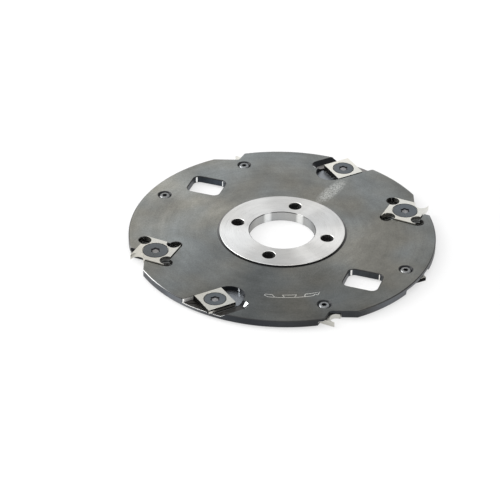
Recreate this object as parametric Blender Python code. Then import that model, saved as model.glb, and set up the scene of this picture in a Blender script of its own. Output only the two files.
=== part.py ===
"""Grooving cutter with indexable knives and spurs, lying flat on its hub.

The cutter's axis is Z and its lower hub face lies at Z = 0. Seen from above it turns counter-clockwise.
Going round the rim, a spur, a knife, a spur and a knife repeat; the first pair is let into the upper
face and the second pair into the lower face. Each insert has a seat milled about half way through the
disc and one countersunk screw, whose end shows on the other face.
"""

import math

import bmesh
import bpy
from mathutils import Matrix, Vector

# Disc and hub, in metres
CUTTING_DIAMETER = 0.150
RIM_SETBACK = 0.0014
BODY_THICKNESS = 0.0037
RIM_EDGE = 0.0003
HUB_DIAMETER = 0.0602
HUB_RISE = 0.00065
HUB_EDGE = 0.0002
BORE_DIAMETER = 0.03175
BORE_CHAMFER = 0.00035

# Holes in the hub face
HUB_HOLE_COUNT = 4
HUB_HOLE_DIAMETER = 0.0063
HUB_HOLE_CHAMFER = 0.0003
HUB_HOLE_INSET = 0.0007
HUB_HOLE_AZIMUTH = 73.3

# Windows through the disc
WINDOW_COUNT = 2
WINDOW_LENGTH = 0.0167
WINDOW_WIDTH = 0.0142
WINDOW_CORNER_RADIUS = 0.0031
WINDOW_FROM_RIM = 0.0190
WINDOW_AZIMUTH = 133.1
WINDOW_TURN = 28.4

# Fits
SEAT_GAP = 0.0003

# Square knives
KNIFE_COUNT_PER_FACE = 2
KNIFE_SIDE = 0.0140
KNIFE_THICKNESS = 0.0020
KNIFE_TIP_AZIMUTH = 63.4
KNIFE_TURN = -33.8
KNIFE_SIDE_CLEARANCE = 1.5
KNIFE_BELOW_HUB = 0.00005
KNIFE_RELIEF_RADIUS = 0.0072
KNIFE_RELIEF_SETBACK = 0.0004
KNIFE_RELIEF_DEPTH = 0.0023
KNIFE_WALL_END_RADIUS = 0.0016

# Chip gullet along the rake side of each knife
GULLET_OFFSET = 0.0020
GULLET_TOP_RADIUS = 0.0036
GULLET_FLOOR_RADIUS = 0.0015
GULLET_DEPTH = 0.0019
GULLET_INNER_REACH = 0.0015

# Spurs, square plates with a hooked point at each corner
SPUR_COUNT_PER_FACE = 2
SPUR_SIDE = 0.0177
SPUR_THICKNESS = 0.00245
SPUR_TIP_AZIMUTH = 18.0
SPUR_TURN = -42.5
SPUR_LEAD = 0.0003
SPUR_BELOW_HUB = 0.00005
SPUR_HOOK_RADIUS = 0.0033
SPUR_HOOK_INSET = 0.0003
SPUR_POINT_WIDTH = 0.0003
SPUR_LAND = 0.0005

# Seat of each spur
SPUR_RELIEF_RADIUS = 0.0030
SPUR_RELIEF_FROM_CORNER = 0.00255
SPUR_RELIEF_OUTSET = 0.00015
SPUR_RELIEF_DEPTH = 0.0005
SPUR_OPEN_FLANK = 0.0067
SPUR_WALL_END_RADIUS = 0.0008
NOTCH_BACK = 0.0044
NOTCH_INWARD = 0.00535
NOTCH_FLANK_ANGLE = 114.5
NOTCH_FILLET = 0.0014

# Insert screws
KNIFE_SCREW_HEAD_DIAMETER = 0.0100
SCREW_HEAD_RIM = 0.0003
SCREW_CONE_HEIGHT = 0.0011
SCREW_DIAMETER = 0.0050
SCREW_SUNK = 0.00005
SCREW_END_SETBACK = 0.0002
SCREW_END_CHAMFER = 0.0004
SCREW_HOLE_CHAMFER = 0.0006
STAR_DIAMETER = 0.0039
STAR_LOBE = 0.00042
STAR_DEPTH = 0.0012
SOCKET_DIAMETER = 0.0022
SOCKET_DEPTH = 0.0009

# How finely round shapes are divided
DISC_SEGMENTS = 96
SCREW_SEGMENTS = 28
HOLE_SEGMENTS = 28
ARC_SEGMENTS = 8
STAR_POINTS_PER_LOBE = 4

# How far a cutter passes beyond what it cuts
CUT_MARGIN = 0.002

# Sizes worked out from the ones above
BODY_RADIUS = CUTTING_DIAMETER / 2 - RIM_SETBACK
HUB_RADIUS = HUB_DIAMETER / 2
BORE_RADIUS = BORE_DIAMETER / 2
HUB_THICKNESS = BODY_THICKNESS + 2 * HUB_RISE
MID_PLANE = HUB_THICKNESS / 2
HUB_HOLE_RADIUS = HUB_HOLE_DIAMETER / 2
SCREW_RADIUS = SCREW_DIAMETER / 2

HUB_HOLE_CIRCLE = (BORE_RADIUS + HUB_RADIUS) / 2 - HUB_HOLE_INSET

STEEL_DARK = ("blackened_steel", (0.095, 0.097, 0.098, 1.0), 0.42)
CARBIDE = ("ground_carbide", (0.62, 0.60, 0.55, 1.0), 0.30)
SCREW_STEEL = ("blued_screw_steel", (0.10, 0.11, 0.125, 1.0), 0.38)


def clear_scene():
    """Remove whatever the file holds."""
    for obj in list(bpy.data.objects):
        bpy.data.objects.remove(obj, do_unlink=True)


def make_material(name, colour, roughness):
    """Return a plain metal with the given colour and roughness."""
    material = bpy.data.materials.new(name)
    material.use_nodes = True
    shader = material.node_tree.nodes["Principled BSDF"]
    shader.inputs["Base Color"].default_value = colour
    shader.inputs["Roughness"].default_value = roughness
    shader.inputs["Metallic"].default_value = 1.0
    return material


def add_object(name, bm, material=None, parent=None):
    """Turn a bmesh into an object, hung on its parent; without a material it is a cutter."""
    bmesh.ops.recalc_face_normals(bm, faces=bm.faces[:])
    mesh = bpy.data.meshes.new(name)
    bm.to_mesh(mesh)
    bm.free()
    obj = bpy.data.objects.new(name, mesh)
    bpy.context.scene.collection.objects.link(obj)
    obj.parent = parent
    if material is None:
        obj.hide_render = True
        obj.display_type = "WIRE"
    else:
        mesh.materials.append(material)
        mesh.shade_smooth()
        mesh.set_sharp_from_angle(angle=math.radians(30))
    return obj


def cut(target, cutters):
    """Take each cutter away from the target with a live Boolean modifier."""
    for cutter in cutters:
        modifier = target.modifiers.new("cut_" + cutter.name, "BOOLEAN")
        modifier.operation = "DIFFERENCE"
        modifier.solver = "EXACT"
        modifier.object = cutter


def prism(outline, low, high):
    """Extrude a closed plan outline from one height to another."""
    bm = bmesh.new()
    ring = [bm.verts.new((x, y, low)) for x, y in outline]
    floor = bm.faces.new(ring)
    raised = bmesh.ops.extrude_face_region(bm, geom=[floor])
    lifted = [item for item in raised["geom"] if isinstance(item, bmesh.types.BMVert)]
    bmesh.ops.translate(bm, verts=lifted, vec=(0.0, 0.0, high - low))
    return bm


def turned(profile, segments):
    """Spin a closed or axis-to-axis profile of (radius, height) points about Z."""
    bm = bmesh.new()
    points = [bm.verts.new((radius, 0.0, height)) for radius, height in profile]
    edges = [bm.edges.new(pair) for pair in zip(points, points[1:])]
    if profile[0][0] > 0.0:
        edges.append(bm.edges.new((points[-1], points[0])))
    bmesh.ops.spin(
        bm,
        geom=points + edges,
        cent=(0.0, 0.0, 0.0),
        axis=(0.0, 0.0, 1.0),
        angle=2.0 * math.pi,
        steps=segments,
        use_merge=True,
    )
    bmesh.ops.remove_doubles(bm, verts=bm.verts[:], dist=1e-7)
    return bm


def drill(radius, low, high, centre):
    """Return a cylinder to cut a hole with."""
    bm = bmesh.new()
    bmesh.ops.create_cone(
        bm,
        cap_ends=True,
        segments=HOLE_SEGMENTS,
        radius1=radius,
        radius2=radius,
        depth=high - low,
        matrix=Matrix.Translation((centre[0], centre[1], (low + high) / 2)),
    )
    return bm


def polar(radius, degrees):
    """Return the plan point at a radius and an azimuth."""
    angle = math.radians(degrees)
    return Vector((radius * math.cos(angle), radius * math.sin(angle)))


def arc(centre, radius, start, end, steps=ARC_SEGMENTS):
    """Return plan points along an arc, with its angles in degrees."""
    points = []
    for step in range(steps + 1):
        offset = polar(radius, start + (end - start) * step / steps)
        points.append((centre[0] + offset.x, centre[1] + offset.y))
    return points


def rounded_rectangle(length, width, radius):
    """Return the outline of a rectangle with round corners, centred on the origin."""
    outline = []
    for turn, sign_x, sign_y in ((0, 1, 1), (90, -1, 1), (180, -1, -1), (270, 1, -1)):
        centre = (sign_x * (length / 2 - radius), sign_y * (width / 2 - radius))
        outline += arc(centre, radius, turn, turn + 90)
    return outline


def filleted_corner(before, corner, after, radius):
    """Return the arc that rounds one corner of an outline."""
    corner, before, after = Vector(corner), Vector(before), Vector(after)
    to_before = (before - corner).normalized()
    to_after = (after - corner).normalized()
    half_angle = to_before.angle(to_after) / 2
    centre = corner + (to_before + to_after).normalized() * radius / math.sin(half_angle)
    first = corner + to_before * radius / math.tan(half_angle) - centre
    last = corner + to_after * radius / math.tan(half_angle) - centre
    start = math.degrees(math.atan2(first.y, first.x))
    sweep = math.degrees(first.angle_signed(last))
    return arc(centre, radius, start, start - sweep)


def mirrored(outline, hand):
    """Return the outline as it is for hand 1, and mirrored across X for hand -1."""
    return [(x, y * hand) for x, y in outline]


class Station:
    """The place of one insert: a frame whose Z leaves the disc's face, and what is cut for it."""

    def __init__(self, name, side, tip_radius, tip_azimuth, turn, half, tilt=0.0):
        self.name = name
        self.hand = side
        self.half = half
        self.turn = tip_azimuth + turn
        self.centre = polar(tip_radius, tip_azimuth) - polar(half * math.sqrt(2), self.turn + 45)
        self.disc_axis = Matrix.Rotation(math.radians(-self.turn), 2) @ -self.centre
        self.flat = self.frame("frame_" + name, 0.0)
        self.tilted = self.frame("seat_frame_" + name, tilt)

    def frame(self, name, tilt):
        """Add the empty that carries this station's pieces and cutters."""
        empty = bpy.data.objects.new(name, None)
        bpy.context.scene.collection.objects.link(empty)
        height = MID_PLANE + self.hand * BODY_THICKNESS / 2
        facing = Matrix.Rotation(0.0 if self.hand > 0 else math.pi, 4, "X")
        lean = Matrix.Rotation(math.radians(tilt) * self.hand, 4, "X")
        heading = Matrix.Rotation(math.radians(self.turn), 4, "Z")
        place = Matrix.Translation((self.centre.x, self.centre.y, height))
        empty.matrix_world = place @ heading @ facing @ lean
        return empty

    def rim_point(self, across):
        """Return the local plan point where the line at this local Y meets the disc's rim."""
        from_axis = math.sqrt(BODY_RADIUS ** 2 - (across - self.disc_axis.y) ** 2)
        return Vector((self.disc_axis.x + from_axis, across))

    def cutter(self, label, bm, tilted=False):
        """Hang a cutter on this station."""
        parent = self.tilted if tilted else self.flat
        return add_object(f"{label}_{self.name}", bm, parent=parent)


def screw_hole(station, tilted):
    """Return the cutter of the clearance hole, which is chamfered on the far face."""
    radius = SCREW_RADIUS + SEAT_GAP
    profile = [
        (0.0, -BODY_THICKNESS - CUT_MARGIN),
        (radius + SCREW_HOLE_CHAMFER + CUT_MARGIN, -BODY_THICKNESS - CUT_MARGIN),
        (radius, -BODY_THICKNESS + SCREW_HOLE_CHAMFER),
        (radius, CUT_MARGIN),
        (0.0, CUT_MARGIN),
    ]
    return station.cutter("screw_hole", turned(profile, HOLE_SEGMENTS), tilted)


def knife_seat(station, depth):
    """Return the outline cutters of one knife's seat, relief and gullet."""
    half = station.half
    wall = -half - SEAT_GAP
    rake_limit = half + GULLET_OFFSET
    corner = station.rim_point(wall)
    outward = (corner - station.disc_axis).normalized()
    along_rim = corner + Vector((outward.y, -outward.x))
    beyond = corner.x + KNIFE_SIDE
    outline = [(wall, wall)]
    outline += filleted_corner((wall, wall), corner, along_rim, KNIFE_WALL_END_RADIUS)
    outline += [tuple(corner + outward * KNIFE_SIDE), (beyond, rake_limit), (wall, rake_limit)]
    seat = prism(mirrored(outline, station.hand), -depth, CUT_MARGIN)

    relief_centre = (-half - KNIFE_RELIEF_SETBACK, 0.0)
    relief = drill(KNIFE_RELIEF_RADIUS, -KNIFE_RELIEF_DEPTH, CUT_MARGIN, relief_centre)

    gullet = tapered_slot(station, beyond)
    return [
        station.cutter("seat", seat, tilted=True),
        station.cutter("relief", relief),
        station.cutter("gullet", gullet),
    ]


def tapered_slot(station, beyond):
    """Return the gullet: a slot with a round inner end whose walls slope in to a narrower floor."""
    line = (station.half + GULLET_OFFSET) * station.hand
    inner = -station.half - GULLET_INNER_REACH
    slope = (GULLET_TOP_RADIUS - GULLET_FLOOR_RADIUS) / GULLET_DEPTH
    mouth_radius = GULLET_TOP_RADIUS + slope * CUT_MARGIN
    bm = bmesh.new()
    rings = []
    for radius, height in ((GULLET_FLOOR_RADIUS, -GULLET_DEPTH), (mouth_radius, CUT_MARGIN)):
        outline = [(beyond, line - radius), (beyond, line + radius)]
        outline += arc((inner, line), radius, 90, 270, 2 * ARC_SEGMENTS)
        rings.append([bm.verts.new((x, y, height)) for x, y in outline])
        bm.faces.new(rings[-1])
    edges = [edge for edge in bm.edges if len(edge.link_faces) == 1]
    bmesh.ops.bridge_loops(bm, edges=edges)
    return bm


def spur_seat(station, depth):
    """Return the cutters of one spur's seat, its three corner reliefs and its rim notch."""
    half = station.half
    wall = half + SEAT_GAP
    step = half - SPUR_OPEN_FLANK
    beyond = half + SPUR_SIDE
    outline = [(-wall, -wall), (wall, -wall)]
    outline += filleted_corner((wall, -wall), (wall, step), (beyond, step), SPUR_WALL_END_RADIUS)
    outline += [(beyond, step), (beyond, wall), (-wall, wall)]
    seat = prism(mirrored(outline, station.hand), -depth, CUT_MARGIN)
    cutters = [station.cutter("seat", seat)]

    along = half - SPUR_RELIEF_FROM_CORNER
    across = half + SPUR_RELIEF_OUTSET
    corners = ((across, -along), (-along, -across), (-across, along))
    for number, (x, y) in enumerate(corners, start=1):
        floor = -depth - SPUR_RELIEF_DEPTH
        hole = drill(SPUR_RELIEF_RADIUS, floor, CUT_MARGIN, (x, y * station.hand))
        cutters.append(station.cutter(f"corner_relief_{number}", hole))

    corner = (half - NOTCH_INWARD, half - NOTCH_BACK)
    along_flank = Vector(corner) + polar(2 * SPUR_SIDE, NOTCH_FLANK_ANGLE)
    outline = filleted_corner((beyond, corner[1]), corner, along_flank, NOTCH_FILLET)
    outline += [tuple(along_flank), (beyond, along_flank.y), (beyond, corner[1])]
    low = -BODY_THICKNESS - CUT_MARGIN
    notch = prism(mirrored(outline, station.hand), low, CUT_MARGIN)
    cutters.append(station.cutter("notch", notch))
    return cutters


def hook_centre(half):
    """Return the centre of the hook arc that is cut into a spur's side by its leading corner."""
    half_chord = math.sqrt(SPUR_HOOK_RADIUS ** 2 - SPUR_HOOK_INSET ** 2)
    return (half - SPUR_POINT_WIDTH - half_chord, half - SPUR_HOOK_INSET)


def spur_outline(half, hand):
    """Return a square with an arc cut into each side, so that each corner is a hooked point."""
    along, across = hook_centre(half)
    edge_angle = math.degrees(math.asin(SPUR_HOOK_INSET / SPUR_HOOK_RADIUS))
    side = [(half, half)]
    side += arc((along, across), SPUR_HOOK_RADIUS, edge_angle, -180 - edge_angle, 2 * ARC_SEGMENTS)
    outline = []
    for quarter in range(4):
        turn = Matrix.Rotation(math.radians(90 * quarter), 2)
        outline += [tuple(turn @ Vector(point)) for point in side]
    return mirrored(outline, hand)


def countersink(head_radius, face, floor):
    """Return the cutter of a countersunk hole through an insert."""
    rim_low = face - SCREW_SUNK - SCREW_HEAD_RIM - SEAT_GAP / 2
    profile = [
        (0.0, floor - CUT_MARGIN),
        (SCREW_RADIUS + SEAT_GAP, floor - CUT_MARGIN),
        (SCREW_RADIUS + SEAT_GAP, rim_low - SCREW_CONE_HEIGHT),
        (head_radius + SEAT_GAP, rim_low),
        (head_radius + SEAT_GAP, face + CUT_MARGIN),
        (0.0, face + CUT_MARGIN),
    ]
    return turned(profile, SCREW_SEGMENTS)


def star(diameter, lobe, low, high):
    """Return a six-lobed star prism, the shape of the driver recess in a screw head."""
    outline = []
    count = 6 * STAR_POINTS_PER_LOBE
    for step in range(count):
        degrees = 360.0 * step / count
        ripple = lobe / 2 * (math.cos(math.radians(6 * degrees)) - 1.0)
        outline.append(tuple(polar(diameter / 2 + ripple, degrees)))
    return prism(outline, low, high)


def insert_screw(station, parent, head_radius, face, material):
    """Build the countersunk screw of one insert, with a star recess and a socket in its end."""
    top = face - SCREW_SUNK
    rim_low = top - SCREW_HEAD_RIM
    neck = rim_low - SCREW_CONE_HEIGHT + SEAT_GAP / 2
    end = -BODY_THICKNESS + SCREW_END_SETBACK
    profile = [
        (0.0, end),
        (SCREW_RADIUS - SCREW_END_CHAMFER, end),
        (SCREW_RADIUS, end + SCREW_END_CHAMFER),
        (SCREW_RADIUS, neck),
        (head_radius, rim_low),
        (head_radius, top),
        (0.0, top),
    ]
    name = station.name + "_screw"
    screw = add_object(name, turned(profile, SCREW_SEGMENTS), material, parent)
    recess = star(STAR_DIAMETER, STAR_LOBE, top - STAR_DEPTH, top + CUT_MARGIN)
    socket = star(SOCKET_DIAMETER, STAR_LOBE / 2, end - CUT_MARGIN, end + SOCKET_DEPTH)
    cut(screw, [
        add_object("star_recess_" + name, recess, parent=parent),
        add_object("end_socket_" + name, socket, parent=parent),
    ])
    return screw


def build_knife_station(name, side, azimuth, carbide, screw_steel):
    """Build one knife with its screw, and return the cutters of its seat."""
    half = KNIFE_SIDE / 2
    tip_radius = CUTTING_DIAMETER / 2
    station = Station(name, side, tip_radius, azimuth, KNIFE_TURN, half, KNIFE_SIDE_CLEARANCE)
    edge_lift = half * math.tan(math.radians(KNIFE_SIDE_CLEARANCE))
    face = HUB_RISE - KNIFE_BELOW_HUB - edge_lift
    floor = face - KNIFE_THICKNESS
    corners = [(-half, -half), (half, -half), (half, half), (-half, half)]
    knife = add_object(name, prism(corners, floor, face), carbide, station.tilted)
    head_radius = KNIFE_SCREW_HEAD_DIAMETER / 2
    sink = station.cutter("countersink", countersink(head_radius, face, floor), tilted=True)
    cut(knife, [sink])
    insert_screw(station, station.tilted, head_radius, face, screw_steel)
    return knife_seat(station, SEAT_GAP - floor) + [screw_hole(station, tilted=True)]


def build_spur_station(name, side, azimuth, carbide, screw_steel):
    """Build one spur with its screw, and return the cutters of its seat."""
    half = SPUR_SIDE / 2
    tip_radius = CUTTING_DIAMETER / 2 + SPUR_LEAD
    station = Station(name, side, tip_radius, azimuth, SPUR_TURN, half)
    face = HUB_RISE - SPUR_BELOW_HUB
    floor = face - SPUR_THICKNESS
    spur = add_object(name, prism(spur_outline(half, side), floor, face), carbide, station.flat)
    hook_gap = Vector(hook_centre(half)).length - SPUR_HOOK_RADIUS
    head_radius = hook_gap - SPUR_LAND - SEAT_GAP
    sink = station.cutter("countersink", countersink(head_radius, face, floor))
    cut(spur, [sink])
    insert_screw(station, station.flat, head_radius, face, screw_steel)
    return spur_seat(station, SEAT_GAP - floor) + [screw_hole(station, tilted=False)]


def disc_profile():
    """Return the section of the disc and hub, from the bore out to the rim and back."""
    low = HUB_RISE
    high = HUB_RISE + BODY_THICKNESS
    return [
        (BORE_RADIUS, BORE_CHAMFER),
        (BORE_RADIUS + BORE_CHAMFER, 0.0),
        (HUB_RADIUS - HUB_EDGE, 0.0),
        (HUB_RADIUS, HUB_EDGE),
        (HUB_RADIUS, low),
        (BODY_RADIUS - RIM_EDGE, low),
        (BODY_RADIUS, low + RIM_EDGE),
        (BODY_RADIUS, high - RIM_EDGE),
        (BODY_RADIUS - RIM_EDGE, high),
        (HUB_RADIUS, high),
        (HUB_RADIUS, HUB_THICKNESS - HUB_EDGE),
        (HUB_RADIUS - HUB_EDGE, HUB_THICKNESS),
        (BORE_RADIUS + BORE_CHAMFER, HUB_THICKNESS),
        (BORE_RADIUS, HUB_THICKNESS - BORE_CHAMFER),
    ]


def hub_holes():
    """Return the cutters of the chamfered holes through the hub."""
    mouth = HUB_HOLE_RADIUS + HUB_HOLE_CHAMFER
    profile = [
        (0.0, -CUT_MARGIN),
        (mouth + CUT_MARGIN, -CUT_MARGIN),
        (HUB_HOLE_RADIUS, HUB_HOLE_CHAMFER),
        (HUB_HOLE_RADIUS, HUB_THICKNESS - HUB_HOLE_CHAMFER),
        (mouth + CUT_MARGIN, HUB_THICKNESS + CUT_MARGIN),
        (0.0, HUB_THICKNESS + CUT_MARGIN),
    ]
    cutters = []
    for number in range(HUB_HOLE_COUNT):
        azimuth = HUB_HOLE_AZIMUTH + 360.0 * number / HUB_HOLE_COUNT
        centre = polar(HUB_HOLE_CIRCLE, azimuth)
        hole = add_object(f"hub_hole_{number + 1}", turned(profile, HOLE_SEGMENTS))
        hole.location = (centre.x, centre.y, 0.0)
        cutters.append(hole)
    return cutters


def windows():
    """Return the cutters of the round-cornered windows."""
    outline = rounded_rectangle(WINDOW_LENGTH, WINDOW_WIDTH, WINDOW_CORNER_RADIUS)
    cutters = []
    for number in range(WINDOW_COUNT):
        azimuth = WINDOW_AZIMUTH + 360.0 * number / WINDOW_COUNT
        centre = polar(BODY_RADIUS - WINDOW_FROM_RIM, azimuth)
        window = add_object(
            f"window_{number + 1}",
            prism(outline, HUB_RISE - CUT_MARGIN, HUB_THICKNESS + CUT_MARGIN),
        )
        window.location = (centre.x, centre.y, 0.0)
        window.rotation_euler.z = math.radians(azimuth + WINDOW_TURN)
        cutters.append(window)
    return cutters


def build_cutter():
    """Build the disc, its inserts and its screws."""
    clear_scene()
    dark = make_material(*STEEL_DARK)
    carbide = make_material(*CARBIDE)
    screw_steel = make_material(*SCREW_STEEL)

    body = add_object("cutter_body", turned(disc_profile(), DISC_SEGMENTS), dark)
    cutters = hub_holes() + windows()
    kinds = (
        ("spur", build_spur_station, SPUR_TIP_AZIMUTH, SPUR_COUNT_PER_FACE),
        ("knife", build_knife_station, KNIFE_TIP_AZIMUTH, KNIFE_COUNT_PER_FACE),
    )
    for kind, build, first_azimuth, count in kinds:
        for face, side, lag in (("upper", 1, 0.0), ("lower", -1, 180.0 / count)):
            for number in range(count):
                azimuth = first_azimuth + lag + 360.0 * number / count
                name = f"{face}_{kind}_{number + 1}"
                cutters += build(name, side, azimuth, carbide, screw_steel)
    cut(body, cutters)


build_cutter()
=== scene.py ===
"""Looks of a grooving cutter: a blackened steel disc with a ground hub, screwed knives and hooked spurs.

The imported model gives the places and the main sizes. Each class below holds one sub-assembly: it models its
pieces finely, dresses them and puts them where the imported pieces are.
"""

import logging
import math
from collections.abc import Iterable, Sequence
from dataclasses import dataclass, field
from enum import Enum

import bmesh
import bpy
from mathutils import Matrix, Vector

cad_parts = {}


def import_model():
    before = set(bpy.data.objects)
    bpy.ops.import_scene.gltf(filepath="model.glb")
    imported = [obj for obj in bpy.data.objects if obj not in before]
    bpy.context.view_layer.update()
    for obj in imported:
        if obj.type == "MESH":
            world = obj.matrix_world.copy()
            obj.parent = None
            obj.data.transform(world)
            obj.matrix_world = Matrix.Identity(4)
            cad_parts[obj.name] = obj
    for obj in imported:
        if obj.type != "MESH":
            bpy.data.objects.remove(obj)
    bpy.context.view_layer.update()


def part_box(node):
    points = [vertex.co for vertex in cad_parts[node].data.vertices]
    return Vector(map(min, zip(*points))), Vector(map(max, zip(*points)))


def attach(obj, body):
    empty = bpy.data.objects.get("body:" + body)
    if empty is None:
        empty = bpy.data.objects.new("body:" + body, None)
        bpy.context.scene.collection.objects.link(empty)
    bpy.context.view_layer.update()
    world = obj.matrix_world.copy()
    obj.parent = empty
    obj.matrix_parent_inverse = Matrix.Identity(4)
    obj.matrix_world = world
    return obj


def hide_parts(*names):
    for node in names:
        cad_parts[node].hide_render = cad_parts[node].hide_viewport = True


LOG = logging.getLogger("grooving_cutter")
MM = 0.001
ROOT_BODY = "root"
DISC_RADIUS = 73.6 * MM
ORIGIN = (0.0, 0.0, 0.0)
UP = (0.0, 0.0, 1.0)
IN_PLAN = (1.0, 1.0, 0.0)
WHITE = (1.0, 1.0, 1.0, 1.0)

# How far a cutter runs past what it cuts, and how near points have to be to become one.
CUT_MARGIN = 2 * MM
MERGE_MADE = 1e-7
MERGE_CUT = 2e-6

# Angles in degrees between two faces: up to the first they are joined to one, up to the second they are
# shaded as one, and above the third the edge between them is eased.
JOIN_BELOW = 0.4
SMOOTH_BELOW = 40.0
BEVEL_ABOVE = 35.0

# The upright part of a face's normal from which it counts as level, and as sloped.
LEVEL = 0.98
SLOPED = 0.3

# The values between which a noise mostly moves, how far lathe marks change the roughness, and the grain
# above which a bright speck shows.
NOISE_SPAN = (0.3, 0.7)
ROUGHNESS_SWING = 0.12
SPECK_SPAN = (0.56, 0.66)
SPECK_COLOUR = (0.6, 0.6, 0.58)
BUMP_STRENGTH = 0.5
GRAIN_IN_RELIEF = 0.5

Colour = tuple[float, float, float]
Point = tuple[float, float]


def rgba(colour: Colour) -> tuple[float, float, float, float]:
    """Return a colour with full alpha."""
    return (*colour, 1.0)


def polar(radius: float, azimuth: float, height: float = 0.0) -> Vector:
    """Return the place at a radius, an azimuth in degrees and a height."""
    angle = math.radians(azimuth)
    return Vector((radius * math.cos(angle), radius * math.sin(angle), height))


class Side(Enum):
    """The face of the disc that an insert is let into."""

    UPPER = 1
    LOWER = -1


class Slot(Enum):
    """The record's material slots."""

    DISC = "blackened_steel"
    INSERT = "ground_carbide"
    SCREW = "blued_screw_steel"


class Surface(Enum):
    """The differently finished surfaces of the disc, some with painted highlights and shade, in material slot
    order.
    """

    FACE = 0
    HUB = 1
    BORE = 2
    RIM = 3
    FLOOR = 4
    WALL = 5
    EDGE = 6
    BRIGHT_EDGE = 7
    BORE_EDGE = 8
    PAINTED_HIGHLIGHT = 9
    SEAT_FLOOR = 10
    DRILLED = 11
    WINDOW = 12
    GROOVE = 13


class Insert(Enum):
    """The surfaces of an insert, in the order of its material slots."""

    GROUND = 0
    SINTERED = 1


class ScrewPart(Enum):
    """The surfaces of a screw, in the order of its material slots."""

    TURNED = 0
    RECESS_FLOOR = 1
    RECESS_WALL = 2
    END = 3


@dataclass(frozen=True)
class Detail:
    """How finely round shapes are divided."""

    disc: int = 256
    hole: int = 56
    screw: int = 72
    corner: int = 10
    thread: int = 28


DETAIL = Detail()


@dataclass(frozen=True)
class Corner:
    """One corner of a plan outline, with the radius that rounds it."""

    x: float
    y: float
    radius: float = 0.0


def square(side: float) -> list[Corner]:
    """Return the corners of a square about the origin."""
    half = side / 2
    return [Corner(-half, -half), Corner(half, -half), Corner(half, half), Corner(-half, half)]


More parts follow.
